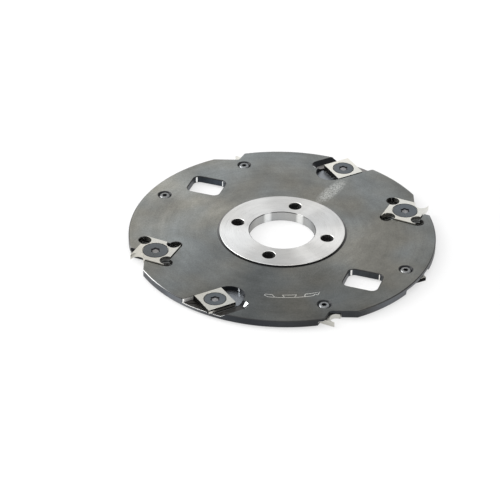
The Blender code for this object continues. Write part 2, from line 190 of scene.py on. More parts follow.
class Stock:
    """Makes closed meshes from a few points with Blender's own mesh operators."""

    lobe_count = 6

    @staticmethod
    def outline(bm: bmesh.types.BMesh, corners: Sequence[Corner], height: float) -> bmesh.types.BMFace:
        """Draw a flat face with some of its corners rounded.

        Args:
            bm: The mesh that takes the face.
            corners: The outline's corners, in order.
            height: The height at which the face lies.

        Returns:
            The face.
        """
        verts = [bm.verts.new((corner.x, corner.y, height)) for corner in corners]
        bm.faces.new(verts)
        count = len(corners)
        for index, corner in enumerate(corners):
            if corner.radius <= 0.0:
                continue
            here = Vector((corner.x, corner.y))
            last, following = corners[index - 1], corners[(index + 1) % count]
            before = Vector((last.x, last.y)) - here
            after = Vector((following.x, following.y)) - here
            reach = corner.radius / math.tan(before.angle(after) / 2)
            bmesh.ops.bevel(
                bm,
                geom=[verts[index]],
                offset=reach,
                offset_type="OFFSET",
                segments=DETAIL.corner,
                profile=0.5,
                affect="VERTICES",
                material=-1,
            )
        bm.faces.ensure_lookup_table()
        return bm.faces[0]

    @staticmethod
    def prism(corners: Sequence[Corner], low: float, high: float) -> bmesh.types.BMesh:
        """Extrude a plan outline from one height to another.

        Args:
            corners: The outline's corners, in order.
            low: The lower height.
            high: The upper height.

        Returns:
            A closed mesh.
        """
        bm = bmesh.new()
        face = Stock.outline(bm, corners, low)
        raised = bmesh.ops.extrude_face_region(bm, geom=[face])
        lifted = [item for item in raised["geom"] if isinstance(item, bmesh.types.BMVert)]
        bmesh.ops.translate(bm, verts=lifted, vec=(0.0, 0.0, high - low))
        return Stock.closed(bm)

    @staticmethod
    def turned(profile: Sequence[Point], steps: int) -> bmesh.types.BMesh:
        """Turn a profile of radii and heights about Z.

        Args:
            profile: The profile, closed by its own ends or by the axis.
            steps: How many steps go round.

        Returns:
            A closed mesh.
        """
        bm = bmesh.new()
        points = [bm.verts.new((radius, 0.0, height)) for radius, height in profile]
        edges = [bm.edges.new(pair) for pair in zip(points, points[1:])]
        if profile[0][0] > 0.0:
            edges.append(bm.edges.new((points[-1], points[0])))
        bmesh.ops.spin(
            bm,
            geom=points + edges,
            axis=UP,
            cent=ORIGIN,
            angle=math.tau,
            steps=steps,
            use_merge=True,
        )
        bmesh.ops.remove_doubles(bm, verts=bm.verts[:], dist=MERGE_MADE)
        return Stock.closed(bm)

    @staticmethod
    def cylinder(radius: float, low: float, high: float, centre: Point = (0.0, 0.0)) -> bmesh.types.BMesh:
        """Make an upright cylinder.

        Args:
            radius: Its radius.
            low: The height of its lower end.
            high: The height of its upper end.
            centre: Its axis in plan.

        Returns:
            A closed mesh.
        """
        bm = bmesh.new()
        bmesh.ops.create_cone(
            bm,
            cap_ends=True,
            segments=DETAIL.hole,
            radius1=radius,
            radius2=radius,
            depth=high - low,
            matrix=Matrix.Translation((centre[0], centre[1], (low + high) / 2)),
        )
        return bm

    @staticmethod
    def star(
        diameter: float, lobe: float, mouth: float, floor: float, floor_share: float
    ) -> bmesh.types.BMesh:
        """Make a tapered plug with round lobes.

        Args:
            diameter: Its diameter over the lobes at the mouth.
            lobe: How far the hollows between the lobes reach in.
            mouth: The height of its wide end.
            floor: The height of its narrow end.
            floor_share: The narrow end's size as a share of the wide one's.

        Returns:
            A closed mesh.
        """
        bm = bmesh.new()
        ring = bmesh.ops.create_circle(bm, cap_ends=True, segments=DETAIL.screw, radius=diameter / 2)
        for vert in ring["verts"]:
            angle = math.atan2(vert.co.y, vert.co.x)
            vert.co *= 1.0 - lobe / diameter * (1.0 - math.cos(Stock.lobe_count * angle))
            vert.co.z = mouth
        sunk = bmesh.ops.extrude_face_region(bm, geom=bm.faces[:])
        for vert in [item for item in sunk["geom"] if isinstance(item, bmesh.types.BMVert)]:
            vert.co = Vector((vert.co.x * floor_share, vert.co.y * floor_share, floor))
        return Stock.closed(bm)

    @staticmethod
    def closed(bm: bmesh.types.BMesh) -> bmesh.types.BMesh:
        """Turn all faces outward and hand the mesh back."""
        bmesh.ops.recalc_face_normals(bm, faces=bm.faces[:])
        return bm

    @staticmethod
    def placed(mesh: bpy.types.Mesh, place: Matrix) -> bmesh.types.BMesh:
        """Copy a mesh to its place, and turn its faces out again where the place mirrors it.

        Args:
            mesh: The mesh to copy.
            place: Where it goes, perhaps mirrored.

        Returns:
            The copy.
        """
        bm = bmesh.new()
        bm.from_mesh(mesh)
        bm.transform(place)
        if place.determinant() < 0.0:
            bmesh.ops.reverse_faces(bm, faces=bm.faces[:])
        return bm


class Workshop:
    """Cuts, bevels and hands over pieces."""

    @staticmethod
    def object_of(
        name: str, bm: bmesh.types.BMesh, materials: Sequence[bpy.types.Material] = ()
    ) -> bpy.types.Object:
        """Make a scene object of a bmesh, and free the bmesh.

        Args:
            name: The object's name.
            bm: Its mesh.
            materials: Its materials, in the order of its faces' material numbers.

        Returns:
            The object.
        """
        mesh = bpy.data.meshes.new(name)
        for material in materials:
            mesh.materials.append(material)
        bm.to_mesh(mesh)
        bm.free()
        obj = bpy.data.objects.new(name, mesh)
        bpy.context.scene.collection.objects.link(obj)
        return obj

    @staticmethod
    def carved(blank: bmesh.types.BMesh, cutters: Iterable[bmesh.types.BMesh]) -> bmesh.types.BMesh:
        """Take cutters away from a blank.

        Args:
            blank: The mesh that is cut.
            cutters: Closed meshes, which may overlap each other.

        Returns:
            The cut mesh, merged and with its flat faces whole.
        """
        target = Workshop.object_of("blank", blank)
        tools = bpy.data.collections.new("cutters")
        bpy.context.scene.collection.children.link(tools)
        made = []
        for number, cutter in enumerate(cutters):
            tool = Workshop.object_of(f"cutter_{number}", cutter)
            bpy.context.scene.collection.objects.unlink(tool)
            tools.objects.link(tool)
            made.append(tool)
        modifier = target.modifiers.new("carve", "BOOLEAN")
        modifier.operation = "DIFFERENCE"
        modifier.solver = "MANIFOLD"
        modifier.operand_type = "COLLECTION"
        modifier.collection = tools
        bm = Workshop.evaluated(target)
        for obj in [target, *made]:
            bpy.data.objects.remove(obj, do_unlink=True)
        bpy.data.collections.remove(tools)
        bmesh.ops.remove_doubles(bm, verts=bm.verts[:], dist=MERGE_CUT)
        limit = math.radians(JOIN_BELOW)
        bmesh.ops.dissolve_limit(bm, angle_limit=limit, verts=bm.verts[:], edges=bm.edges[:])
        return bm

    @staticmethod
    def evaluated(obj: bpy.types.Object) -> bmesh.types.BMesh:
        """Read an object's mesh with its modifiers applied.

        Args:
            obj: The object.

        Returns:
            Its mesh.
        """
        graph = bpy.context.evaluated_depsgraph_get()
        graph.update()
        mesh = bpy.data.meshes.new_from_object(obj.evaluated_get(graph))
        bm = bmesh.new()
        bm.from_mesh(mesh)
        bpy.data.meshes.remove(mesh)
        return bm

    @staticmethod
    def eased(
        bm: bmesh.types.BMesh,
        width: float,
        material: int = -1,
        within: float = math.inf,
        beyond: float = 0.0,
    ) -> None:
        """Bevel the sharp edges of a mesh.

        Args:
            bm: The mesh.
            width: The width of the bevel.
            material: The material slot of the bevel, or -1 for that of its neighbours.
            within: How far from the Z axis the edges may lie.
            beyond: How far from the Z axis the edges must lie.
        """
        limit = math.radians(BEVEL_ABOVE)
        sharp = []
        for edge in bm.edges:
            if len(edge.link_faces) == 2 and edge.calc_face_angle() > limit:
                if beyond <= edge.verts[0].co.xy.length < within:
                    sharp.append(edge)
        bmesh.ops.bevel(
            bm,
            geom=sharp,
            offset=width,
            offset_type="OFFSET",
            segments=2,
            profile=0.5,
            affect="EDGES",
            clamp_overlap=False,
            material=material,
            miter_outer="ARC",
            loop_slide=False,
        )

    @staticmethod
    def piece(
        name: str,
        bm: bmesh.types.BMesh,
        materials: Sequence[bpy.types.Material],
        slot: Slot,
        replaced: str | None = None,
    ) -> bpy.types.Object:
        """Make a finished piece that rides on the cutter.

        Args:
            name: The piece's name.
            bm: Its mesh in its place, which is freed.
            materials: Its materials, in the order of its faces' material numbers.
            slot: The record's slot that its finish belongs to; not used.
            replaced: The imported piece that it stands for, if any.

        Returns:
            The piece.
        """
        obj = Workshop.object_of(name, bm, materials)
        obj.data.shade_smooth()
        obj.data.set_sharp_from_angle(angle=math.radians(SMOOTH_BELOW))
        smoothing = obj.modifiers.new("weighted_normals", "WEIGHTED_NORMAL")
        smoothing.keep_sharp = True
        graph = bpy.context.evaluated_depsgraph_get()
        graph.update()
        finished = bpy.data.meshes.new_from_object(obj.evaluated_get(graph))
        finished.name = name
        obj.modifiers.clear()
        obj.data = finished
        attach(obj, ROOT_BODY)
        if replaced is not None:
            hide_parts(replaced)
        LOG.info("%s: %d faces", name, len(finished.polygons))
        return obj


class Nodes:
    """Adds nodes to a shader tree and links them, in few words."""

    def __init__(self, tree: bpy.types.NodeTree) -> None:
        """Keep the tree that the nodes go into."""
        self.tree = tree

    def add(self, kind: str, settings: dict | None = None, inputs: dict | None = None) -> bpy.types.Node:
        """Add a node.

        Args:
            kind: The node's type.
            settings: Values of the node's own properties.
            inputs: What goes into its inputs, by name or number: a value, or a socket to link.

        Returns:
            The node.
        """
        node = self.tree.nodes.new(kind)
        for key, value in (settings or {}).items():
            setattr(node, key, value)
        for key, value in (inputs or {}).items():
            if isinstance(value, bpy.types.NodeSocket):
                self.tree.links.new(value, node.inputs[key])
            else:
                node.inputs[key].default_value = value
        return node

    def group(self, tree: bpy.types.NodeTree, inputs: dict) -> bpy.types.Node:
        """Add one of the shared groups and return its node."""
        return self.add("ShaderNodeGroup", {"node_tree": tree}, inputs)

    def noise(
        self, where: object, scale: object, detail: float, roughness: float = 0.5
    ) -> bpy.types.NodeSocket:
        """Add a noise and return its value, mostly within NOISE_SPAN."""
        inputs = {"Vector": where, "Scale": scale, "Detail": detail, "Roughness": roughness}
        return self.add("ShaderNodeTexNoise", inputs=inputs).outputs[0]

    def math(self, operation: str, first: object, second: object = 0.0) -> bpy.types.NodeSocket:
        """Add a Math node and return its output."""
        return self.add("ShaderNodeMath", {"operation": operation}, {0: first, 1: second}).outputs[0]

    def vector(self, operation: str, inputs: dict) -> bpy.types.NodeSocket:
        """Add a Vector Math node and return its vector, or its number where it gives one."""
        node = self.add("ShaderNodeVectorMath", {"operation": operation}, inputs)
        return node.outputs[1 if operation in ("DOT_PRODUCT", "LENGTH") else 0]

    def spread(
        self,
        value: object,
        low: object,
        high: object,
        start: object = 0.0,
        end: object = 1.0,
        soft: bool = False,
    ) -> bpy.types.NodeSocket:
        """Map a value from start..end to low..high, and hold it at the ends.

        Args:
            value: The value.
            low: What start becomes.
            high: What end becomes.
            start: Where the map starts.
            end: Where it ends.
            soft: Whether it starts and ends softly.

        Returns:
            The mapped value.
        """
        inputs = {"Value": value, "From Min": start, "From Max": end, "To Min": low, "To Max": high}
        settings = {"interpolation_type": "SMOOTHSTEP"} if soft else {"clamp": True}
        return self.add("ShaderNodeMapRange", settings, inputs).outputs[0]

    def swing(self, value: object, amount: float, around: float = 1.0) -> bpy.types.NodeSocket:
        """Let a noise move a number up and down by a share of it, and return it."""
        return self.spread(value, around * (1.0 - amount), around * (1.0 + amount), *NOISE_SPAN)

    def blend(self, factor: object, first: object, second: object) -> bpy.types.NodeSocket:
        """Mix two colours and return the output."""
        mix = self.add("ShaderNodeMix", {"data_type": "RGBA"}, {0: factor, 6: first, 7: second})
        return mix.outputs[2]

    def choose(self, factor: object, first: object, second: object) -> bpy.types.NodeSocket:
        """Mix two numbers and return the output."""
        mix = self.add("ShaderNodeMix", {"data_type": "FLOAT"}, {0: factor, 2: first, 3: second})
        return mix.outputs[0]


@dataclass
class EffectGroups:
    """The shader node groups that several finishes share, built once.

    The lathe's rings come as fine marks and broad sweeps, each with its name, how close its rings lie and how
    rough its noise is. A span says between which values of its noise an effect goes from none to full.
    """

    lathe: bpy.types.NodeTree = field(init=False)
    patina: bpy.types.NodeTree = field(init=False)
    grit: bpy.types.NodeTree = field(init=False)
    painted_light_sector: bpy.types.NodeTree = field(init=False)
    lathe_rings: tuple[tuple[str, float, float], ...] = (("Marks", 1.0, 0.75), ("Sweeps", 0.13, 0.55))
    cloud_span: tuple[float, float] = (0.32, 0.68)
    hue_size: float = 0.7
    hue_span: tuple[float, float] = (0.38, 0.62)
    cool: Colour = (0.955, 1.005, 1.045)
    warm: Colour = (1.04, 1.0, 0.925)

    def __post_init__(self) -> None:
        """Build the groups."""
        self.lathe = self.build_lathe()
        self.patina = self.build_patina()
        self.grit = self.build_grit()
        self.painted_light_sector = self.build_painted_light_sector()

    @staticmethod
    def start(name: str, inputs: dict[str, tuple[str, float]], outputs: dict[str, str]) -> tuple:
        """Make an empty group with its sockets.

        Args:
            name: The group's name.
            inputs: The kind and first value of each input.
            outputs: The kind of each output.

        Returns:
            The group, its input node, its output node and a node helper.
        """
        group = bpy.data.node_groups.new(name, "ShaderNodeTree")
        for label, (kind, value) in inputs.items():
            socket = group.interface.new_socket(label, in_out="INPUT", socket_type=kind)
            if kind == "NodeSocketFloat":
                socket.default_value = value
        for label, kind in outputs.items():
            group.interface.new_socket(label, in_out="OUTPUT", socket_type=kind)
        nodes = Nodes(group)
        return group, nodes.add("NodeGroupInput"), nodes.add("NodeGroupOutput"), nodes

    def build_lathe(self) -> bpy.types.NodeTree:
        """Build the marks that a lathe tool leaves: fine rings, and broader ones that fade round the disc.

        Returns:
            A group that turns a position into fine marks and broad sweeps, both from 0 to 1.
        """
        group, given, result, nodes = self.start(
            "lathe_marks",
            {
                "Vector": ("NodeSocketVector", 0.0),
                "Rings": ("NodeSocketFloat", 2600.0),
                "Fade": ("NodeSocketFloat", 2.2),
            },
            {"Marks": "NodeSocketFloat", "Sweeps": "NodeSocketFloat"},
        )
        parts = nodes.add("ShaderNodeSeparateXYZ", inputs={0: given.outputs["Vector"]})
        squares = [nodes.math("MULTIPLY", parts.outputs[axis], parts.outputs[axis]) for axis in (0, 1)]
        radius = nodes.math("SQRT", nodes.math("ADD", *squares))
        angle = nodes.math("ARCTAN2", parts.outputs[1], parts.outputs[0])
        turn_x = nodes.math("MULTIPLY", nodes.math("COSINE", angle), given.outputs["Fade"])
        turn_y = nodes.math("MULTIPLY", nodes.math("SINE", angle), given.outputs["Fade"])
        for label, share, roughness in self.lathe_rings:
            across = nodes.math("MULTIPLY", radius, nodes.math("MULTIPLY", given.outputs["Rings"], share))
            place = nodes.add("ShaderNodeCombineXYZ", inputs={0: across, 1: turn_x, 2: turn_y})
            noise = nodes.noise(place.outputs[0], 1.0, 3.0, roughness)
            nodes.tree.links.new(noise, result.inputs[label])
        return group

    def build_patina(self) -> bpy.types.NodeTree:
        """Build the cloudy change of tone and hue of blackened steel.

        Returns:
            A group that tints a colour cooler and warmer, and lighter and darker.
        """
        group, given, result, nodes = self.start(
            "patina",
            {
                "Vector": ("NodeSocketVector", 0.0),
                "Colour": ("NodeSocketColor", 0.0),
                "Cloud size": ("NodeSocketFloat", 45.0),
                "Tone": ("NodeSocketFloat", 0.12),
                "Hue": ("NodeSocketFloat", 0.5),
            },
            {"Colour": "NodeSocketColor"},
        )
        where, size = given.outputs["Vector"], given.outputs["Cloud size"]
        clouds = nodes.noise(where, size, 4.0, 0.6)
        hues = nodes.noise(where, nodes.math("MULTIPLY", size, self.hue_size), 2.0)
        cloud = nodes.spread(clouds, 0.0, 1.0, *self.cloud_span)
        warmth = nodes.spread(hues, 0.0, 1.0, *self.hue_span)
        hue = nodes.blend(given.outputs["Hue"], WHITE, nodes.blend(warmth, rgba(self.cool), rgba(self.warm)))
        tinted = nodes.vector("MULTIPLY", {0: given.outputs["Colour"], 1: hue})
        off_middle = nodes.math("SUBTRACT", cloud, 0.5)
        lift = nodes.math("ADD", 1.0, nodes.math("MULTIPLY", off_middle, given.outputs["Tone"]))
        toned = nodes.vector("SCALE", {0: tinted, "Scale": lift})
        nodes.tree.links.new(toned, result.inputs["Colour"])
        return group

    def build_grit(self) -> bpy.types.NodeTree:
        """Build the fine grain of ground and blackened metal.

        Returns:
            A group that gives grain from 0 to 1.
        """
        group, given, result, nodes = self.start(
            "grit",
            {"Vector": ("NodeSocketVector", 0.0), "Grain size": ("NodeSocketFloat", 2400.0)},
            {"Grain": "NodeSocketFloat"},
        )
        noise = nodes.noise(given.outputs["Vector"], given.outputs["Grain size"], 2.0, 0.7)
        nodes.tree.links.new(noise, result.inputs["Grain"])
        return group

    def build_painted_light_sector(self) -> bpy.types.NodeTree:
        """Build a lighter or darker sector of the disc: a painted highlight or a painted shade.

        Returns:
            A group that gives a factor, which goes softly from 1 to the middle's value.
        """
        group, given, result, nodes = self.start(
            "painted_light_sector",
            {
                "Vector": ("NodeSocketVector", 0.0),
                "Toward": ("NodeSocketVector", 0.0),
                "Cosine of reach": ("NodeSocketFloat", 0.9),
                "Middle": ("NodeSocketFloat", 1.2),
            },
            {"Factor": "NodeSocketFloat"},
        )
        flat = nodes.vector("MULTIPLY", {0: given.outputs["Vector"], 1: IN_PLAN})
        way = nodes.vector("NORMALIZE", {0: flat})
        near = nodes.vector("DOT_PRODUCT", {0: way, 1: given.outputs["Toward"]})
        reach = given.outputs["Cosine of reach"]
        factor = nodes.spread(near, 1.0, given.outputs["Middle"], reach, 1.0, soft=True)
        nodes.tree.links.new(factor, result.inputs["Factor"])
        return group


@dataclass(frozen=True)
class MetalFinish:
    """A metal surface with lathe marks, clouds and grain.

    It may have painted shade that grows darker toward one side of the disc, by a share of its tone at the
    rim, and sectors of painted highlight and painted shade, each given by its azimuth, its reach to either
    side and its tone in the middle.
    """

    name: str
    colour: Colour
    roughness: float
    anisotropy: float = 0.0
    rings: float = 2600.0
    marks: float = 0.0
    sweeps: float = 0.0
    clouds: float = 0.1
    hue: float = 0.4
    grain: float = 0.06
    relief: float = 0.0
    scuff: bool = False
    specks: float = 0.0
    metallic: float = 1.0
    specular: float = 0.5
    # Painted shade that darkens the colour toward one side.
    painted_shade_toward: Point = (0.0, 0.0)
    # Sectors of painted highlight and painted shade.
    painted_light_sectors: tuple[tuple[float, float, float], ...] = ()

    def build(self, groups: EffectGroups) -> bpy.types.Material:
        """Build the finish's material.

        Args:
            groups: The shared effects.

        Returns:
            The material.
        """
        material = bpy.data.materials.new(self.name)
        material.use_nodes = True
        nodes = Nodes(material.node_tree)
        shader = material.node_tree.nodes["Principled BSDF"]
        where = nodes.add("ShaderNodeTexCoord").outputs["Object"]

        lathe = nodes.group(groups.lathe, {"Vector": where, "Rings": self.rings})
        marks, sweeps = lathe.outputs["Marks"], lathe.outputs["Sweeps"]
        grain = nodes.group(groups.grit, {"Vector": where}).outputs["Grain"]
        patina = nodes.group(
            groups.patina,
            {"Vector": where, "Colour": rgba(self.colour), "Tone": self.clouds, "Hue": self.hue},
        )
        lift = nodes.swing(marks, self.marks)
        lift = nodes.math("MULTIPLY", lift, nodes.swing(sweeps, self.sweeps))
        lift = nodes.math("MULTIPLY", lift, nodes.swing(grain, self.grain))
        lift = self.lift_by_place(nodes, where, lift, groups)
        colour = nodes.vector("SCALE", {0: patina.outputs["Colour"], "Scale": lift})
        if self.scuff:
            colour = nodes.blend(Scuff().mask(nodes, where), colour, rgba(Scuff.colour))
        if self.specks > 0.0:
            bright = nodes.spread(grain, 0.0, self.specks, *SPECK_SPAN)
            colour = nodes.blend(bright, colour, rgba(SPECK_COLOUR))
        rough = nodes.swing(marks, ROUGHNESS_SWING, self.roughness)
        nodes.tree.links.new(colour, shader.inputs["Base Color"])
        nodes.tree.links.new(rough, shader.inputs["Roughness"])
        shader.inputs["Metallic"].default_value = self.metallic
        shader.inputs["Specular IOR Level"].default_value = self.specular
        shader.inputs["Anisotropic"].default_value = self.anisotropy
        if self.relief > 0.0:
            height = nodes.math("ADD", marks, nodes.math("MULTIPLY", grain, GRAIN_IN_RELIEF))
            inputs = {"Strength": BUMP_STRENGTH, "Distance": self.relief, "Height": height}
            bump = nodes.add("ShaderNodeBump", inputs=inputs)
            nodes.tree.links.new(bump.outputs[0], shader.inputs["Normal"])
        return material

    def lift_by_place(
        self, nodes: Nodes, where: bpy.types.NodeSocket, lift: bpy.types.NodeSocket, groups: EffectGroups
    ) -> bpy.types.NodeSocket:
        """Paint highlights and shade onto the finish from place to place on the disc.

        Args:
            nodes: The material's tree.
            where: The position.
            lift: How much the finish is lightened so far.
            groups: The shared effects.

        Returns:
            How much it is lightened in all.
        """
        # Painted shade, darker toward one side.
        if any(self.painted_shade_toward):
            slope = [-share / DISC_RADIUS for share in self.painted_shade_toward]
            across = nodes.vector("DOT_PRODUCT", {0: where, 1: (*slope, 0.0)})
            lift = nodes.math("MULTIPLY", lift, nodes.math("ADD", across, 1.0))
        # Sectors of painted highlight and painted shade.
        for azimuth, reach, middle in self.painted_light_sectors:
            inputs = {
                "Vector": where,
                "Toward": polar(1.0, azimuth),
                "Cosine of reach": math.cos(math.radians(reach)),
                "Middle": middle,
            }
            lift = nodes.math("MULTIPLY", lift, nodes.group(groups.painted_light_sector, inputs).outputs["Factor"])
        return lift


@dataclass(frozen=True)
class Scuff:
    """A rubbed streak on the disc's face, where chips have polished it."""

    colour: Colour = (0.62, 0.63, 0.61)
    centre: Point = (24.5 * MM, 36.3 * MM)
    azimuth: float = 57.3
    length: float = 15.0 * MM
    width: float = 4.2 * MM
    fade_from: float = 0.5
    streaks: float = 9.0
    streak_span: tuple[float, float] = (0.42, 0.62)

    def mask(self, nodes: Nodes, where: bpy.types.NodeSocket) -> bpy.types.NodeSocket:
        """Return how strongly each point is rubbed, from 0 to 1.

        Args:
            nodes: The tree that the mask is built in.
            where: The position.

        Returns:
            The mask's output.
        """
        mapping = nodes.add(
            "ShaderNodeMapping",
            {"vector_type": "TEXTURE"},
            {
                "Vector": where,
                "Location": (*self.centre, 0.0),
                "Rotation": (0.0, 0.0, math.radians(self.azimuth)),
                "Scale": (self.length, self.width, 1.0),
            },
        )
        flat = nodes.vector("MULTIPLY", {0: mapping.outputs[0], 1: IN_PLAN})
        distance = nodes.vector("LENGTH", {0: flat})
        patch = nodes.spread(distance, 1.0, 0.0, self.fade_from, 1.0)
        streaks = nodes.noise(flat, self.streaks, 4.0, 0.7)
        return nodes.math("MULTIPLY", patch, nodes.spread(streaks, 0.0, 1.0, *self.streak_span))


@dataclass
class Finishes:
    """Every finish of the cutter."""

    groups: EffectGroups = field(default_factory=EffectGroups)
    disc: list[bpy.types.Material] = field(init=False)
    insert: list[bpy.types.Material] = field(init=False)
    screw: list[bpy.types.Material] = field(init=False)
    thread: bpy.types.Material = field(init=False)
    etching: bpy.types.Material = field(init=False)

    def __post_init__(self) -> None:
        """Build the materials."""
        disc, insert, screw = self.disc_finishes(), self.insert_finishes(), self.screw_finishes()
        self.disc = [disc[surface].build(self.groups) for surface in Surface]
        self.insert = [insert[surface].build(self.groups) for surface in Insert]
        self.screw = [screw[surface].build(self.groups) for surface in ScrewPart]
        # The hub holes' threads are painted black and dull as shade, with light specks.
        thread = MetalFinish(
            "cut_thread_steel", (0.003, 0.003, 0.003), 0.4, specks=0.12, metallic=0.0, specular=0.1
        )
        self.thread = thread.build(self.groups)
        etching = MetalFinish("etched_line", (0.52, 0.52, 0.50), 0.5, clouds=0.4, grain=0.25)
        self.etching = etching.build(self.groups)

    @staticmethod
    def disc_finishes() -> dict[Surface, MetalFinish]:
        """Return the finish of each of the disc's surfaces."""
        milled = {"clouds": 0.3, "hue": 0.6, "grain": 0.12}
        # Dull and unreflecting, for surfaces painted black as shade.
        painted_shade_matte = {"metallic": 0.0, "specular": 0.1, "grain": 0.1}
        # Azimuths of the bore's painted highlights.
        glints = (116.0, 57.0)
        return {
            # The face: painted shade toward the right and near side, and painted shade sectors at the far and
            # near side.
            Surface.FACE: MetalFinish(
                "turned_blackened_steel",
                (0.197, 0.201, 0.194),
                0.40,
                anisotropy=0.55,
                marks=0.07,
                sweeps=0.07,
                clouds=0.44,
                hue=1.0,
                grain=0.2,
                relief=0.008 * MM,
                scuff=True,
                painted_shade_toward=(0.17, -0.32),
                painted_light_sectors=((100.0, 50.0, 0.76), (275.0, 50.0, 0.74)),
            ),
            # The hub: its sectors are painted highlights and painted shade.
            Surface.HUB: MetalFinish(
                "ground_hub_steel",
                (0.63, 0.63, 0.625),
                0.30,
                anisotropy=0.6,
                rings=3400.0,
                marks=0.05,
                sweeps=0.05,
                clouds=0.10,
                hue=0.2,
                grain=0.03,
                relief=0.003 * MM,
                painted_light_sectors=(
                    (200.0, 38.0, 1.30),
                    (270.0, 22.0, 0.82),
                    (88.0, 24.0, 0.86),
                    (125.0, 16.0, 1.04),
                    (345.0, 28.0, 1.17),
                    (52.0, 9.0, 1.10),
                    (300.0, 9.0, 1.12),
                ),
            ),
            # The bore: two painted highlights, and painted shade toward its sides.
            Surface.BORE: MetalFinish(
                "honed_bore_steel",
                (0.42, 0.42, 0.415),
                0.42,
                clouds=0.1,
                grain=0.04,
                painted_light_sectors=(
                    *((azimuth, 9.0, 2.0) for azimuth in glints),
                    (190.0, 50.0, 0.5),
                    (350.0, 50.0, 0.5),
                ),
            ),
            # The rim: painted highlights toward the near left and near right, and painted shade at the left.
            Surface.RIM: MetalFinish(
                "turned_rim_steel",
                (0.042, 0.044, 0.048),
                0.42,
                painted_light_sectors=((224.0, 28.0, 2.5), (231.0, 10.0, 1.6), (184.0, 22.0, 0.45), (322.0, 26.0, 2.7)),
                **milled,
            ),
            Surface.FLOOR: MetalFinish("milled_floor_steel", (0.25, 0.262, 0.28), 0.36, **milled),
            # Pocket walls, hole walls and window chamfers are painted almost black and dull as shade.
            Surface.WALL: MetalFinish(
                "milled_wall_steel", (0.008, 0.009, 0.011), 0.36, metallic=0.0, specular=0.15, **milled
            ),
            Surface.WINDOW: MetalFinish(
                "milled_window_steel", (0.046, 0.052, 0.060), 0.34, clouds=0.9, hue=1.0, grain=0.2
            ),
            # The hub's foot is painted black as shade, lighter toward the far side.
            Surface.GROOVE: MetalFinish(
                "shaded_groove_steel", (0.008, 0.008, 0.008), 0.5, painted_light_sectors=((95.0, 140.0, 30.0),), **painted_shade_matte
            ),
            # Eased edges are painted dark as shade, with a painted highlight at the near left.
            Surface.EDGE: MetalFinish(
                "worn_edge_steel",
                (0.055, 0.055, 0.055),
                0.30,
                clouds=0.3,
                grain=0.1,
                painted_light_sectors=((205.0, 20.0, 5.0),),
            ),
            Surface.BRIGHT_EDGE: MetalFinish("ground_edge_steel", (0.62, 0.62, 0.61), 0.40, grain=0.05),
            # The bore's chamfer is painted dark as shade, with the bore's painted highlights.
            Surface.BORE_EDGE: MetalFinish(
                "shaded_bore_edge",
                (0.06, 0.06, 0.06),
                0.3,
                painted_light_sectors=tuple((azimuth, 9.0, 9.0) for azimuth in glints),
            ),
            # Painted highlights in window corners, at seats' open ends, in reliefs, at gullets' ends and on
            # rim edges.
            Surface.PAINTED_HIGHLIGHT: MetalFinish("burnished_steel", (0.92, 0.92, 0.91), 0.55, grain=0.05),
            # The seat floors take painted shade, darker toward the near left.
            Surface.SEAT_FLOOR: MetalFinish(
                "shaded_seat_steel", (0.145, 0.138, 0.134), 0.36, painted_shade_toward=(-0.35, -0.45), **milled
            ),
            # The spurs' corner reliefs are painted black and dull as shade, with light specks.
            Surface.DRILLED: MetalFinish(
                "drilled_relief_steel", (0.004, 0.004, 0.004), 0.4, specks=0.4, **painted_shade_matte
            ),
        }

    @staticmethod
    def insert_finishes() -> dict[Insert, MetalFinish]:
        """Return the finish of each of an insert's surfaces."""
        return {
            # Ground carbide, with painted shade toward the near side.
            Insert.GROUND: MetalFinish(
                "ground_carbide_faces",
                (0.66, 0.647, 0.60),
                0.30,
                clouds=0.12,
                hue=0.4,
                grain=0.05,
                relief=0.002 * MM,
                painted_shade_toward=(0.0, -0.18),
            ),
            # The inserts' sides are painted black and dull as shade.
            Insert.SINTERED: MetalFinish(
                "sintered_carbide_sides", (0.004, 0.004, 0.004), 0.6, metallic=0.0, specular=0.06, grain=0.15
            ),
        }

    @staticmethod
    def screw_finishes() -> dict[ScrewPart, MetalFinish]:
        """Return the finish of each of a screw's surfaces."""
        return {
            ScrewPart.TURNED: MetalFinish(
                "blued_turned_screw",
                (0.112, 0.123, 0.134),
                0.30,
                anisotropy=0.5,
                clouds=0.25,
                hue=0.6,
                grain=0.1,
            ),
            # The recess floor is painted light as a highlight, with bright specks as painted glints.
            ScrewPart.RECESS_FLOOR: MetalFinish(
                "pressed_recess_floor", (0.25, 0.245, 0.25), 0.45, clouds=0.5, grain=0.3, specks=0.8
            ),
            # The recess walls and the head's upright rim are painted black and dull as shade.
            ScrewPart.RECESS_WALL: MetalFinish(
                "pressed_recess_wall", (0.006, 0.006, 0.007), 0.5, metallic=0.0, specular=0.1, grain=0.1
            ),
            ScrewPart.END: MetalFinish("turned_screw_end", (0.20, 0.205, 0.21), 0.4, clouds=0.3, grain=0.25),
        }


@dataclass
class Heights:
    """The heights of the disc's faces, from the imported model."""

    hub_rise: float = 0.65 * MM
    hub_top: float = field(init=False)
    radius: float = field(init=False)

    def __post_init__(self) -> None:
        """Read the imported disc."""
        low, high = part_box("cutter_body")
        self.hub_top = high.z - low.z
        self.radius = high.x

    @property
    def thickness(self) -> float:
        """Return the disc's thickness beside the hub."""
        return self.hub_top - 2 * self.hub_rise

    @property
    def middle(self) -> float:
        """Return the height of the middle of the disc."""
        return self.hub_top / 2

    @property
    def face(self) -> float:
        """Return the height of the disc's upper face."""
        return self.hub_top - self.hub_rise


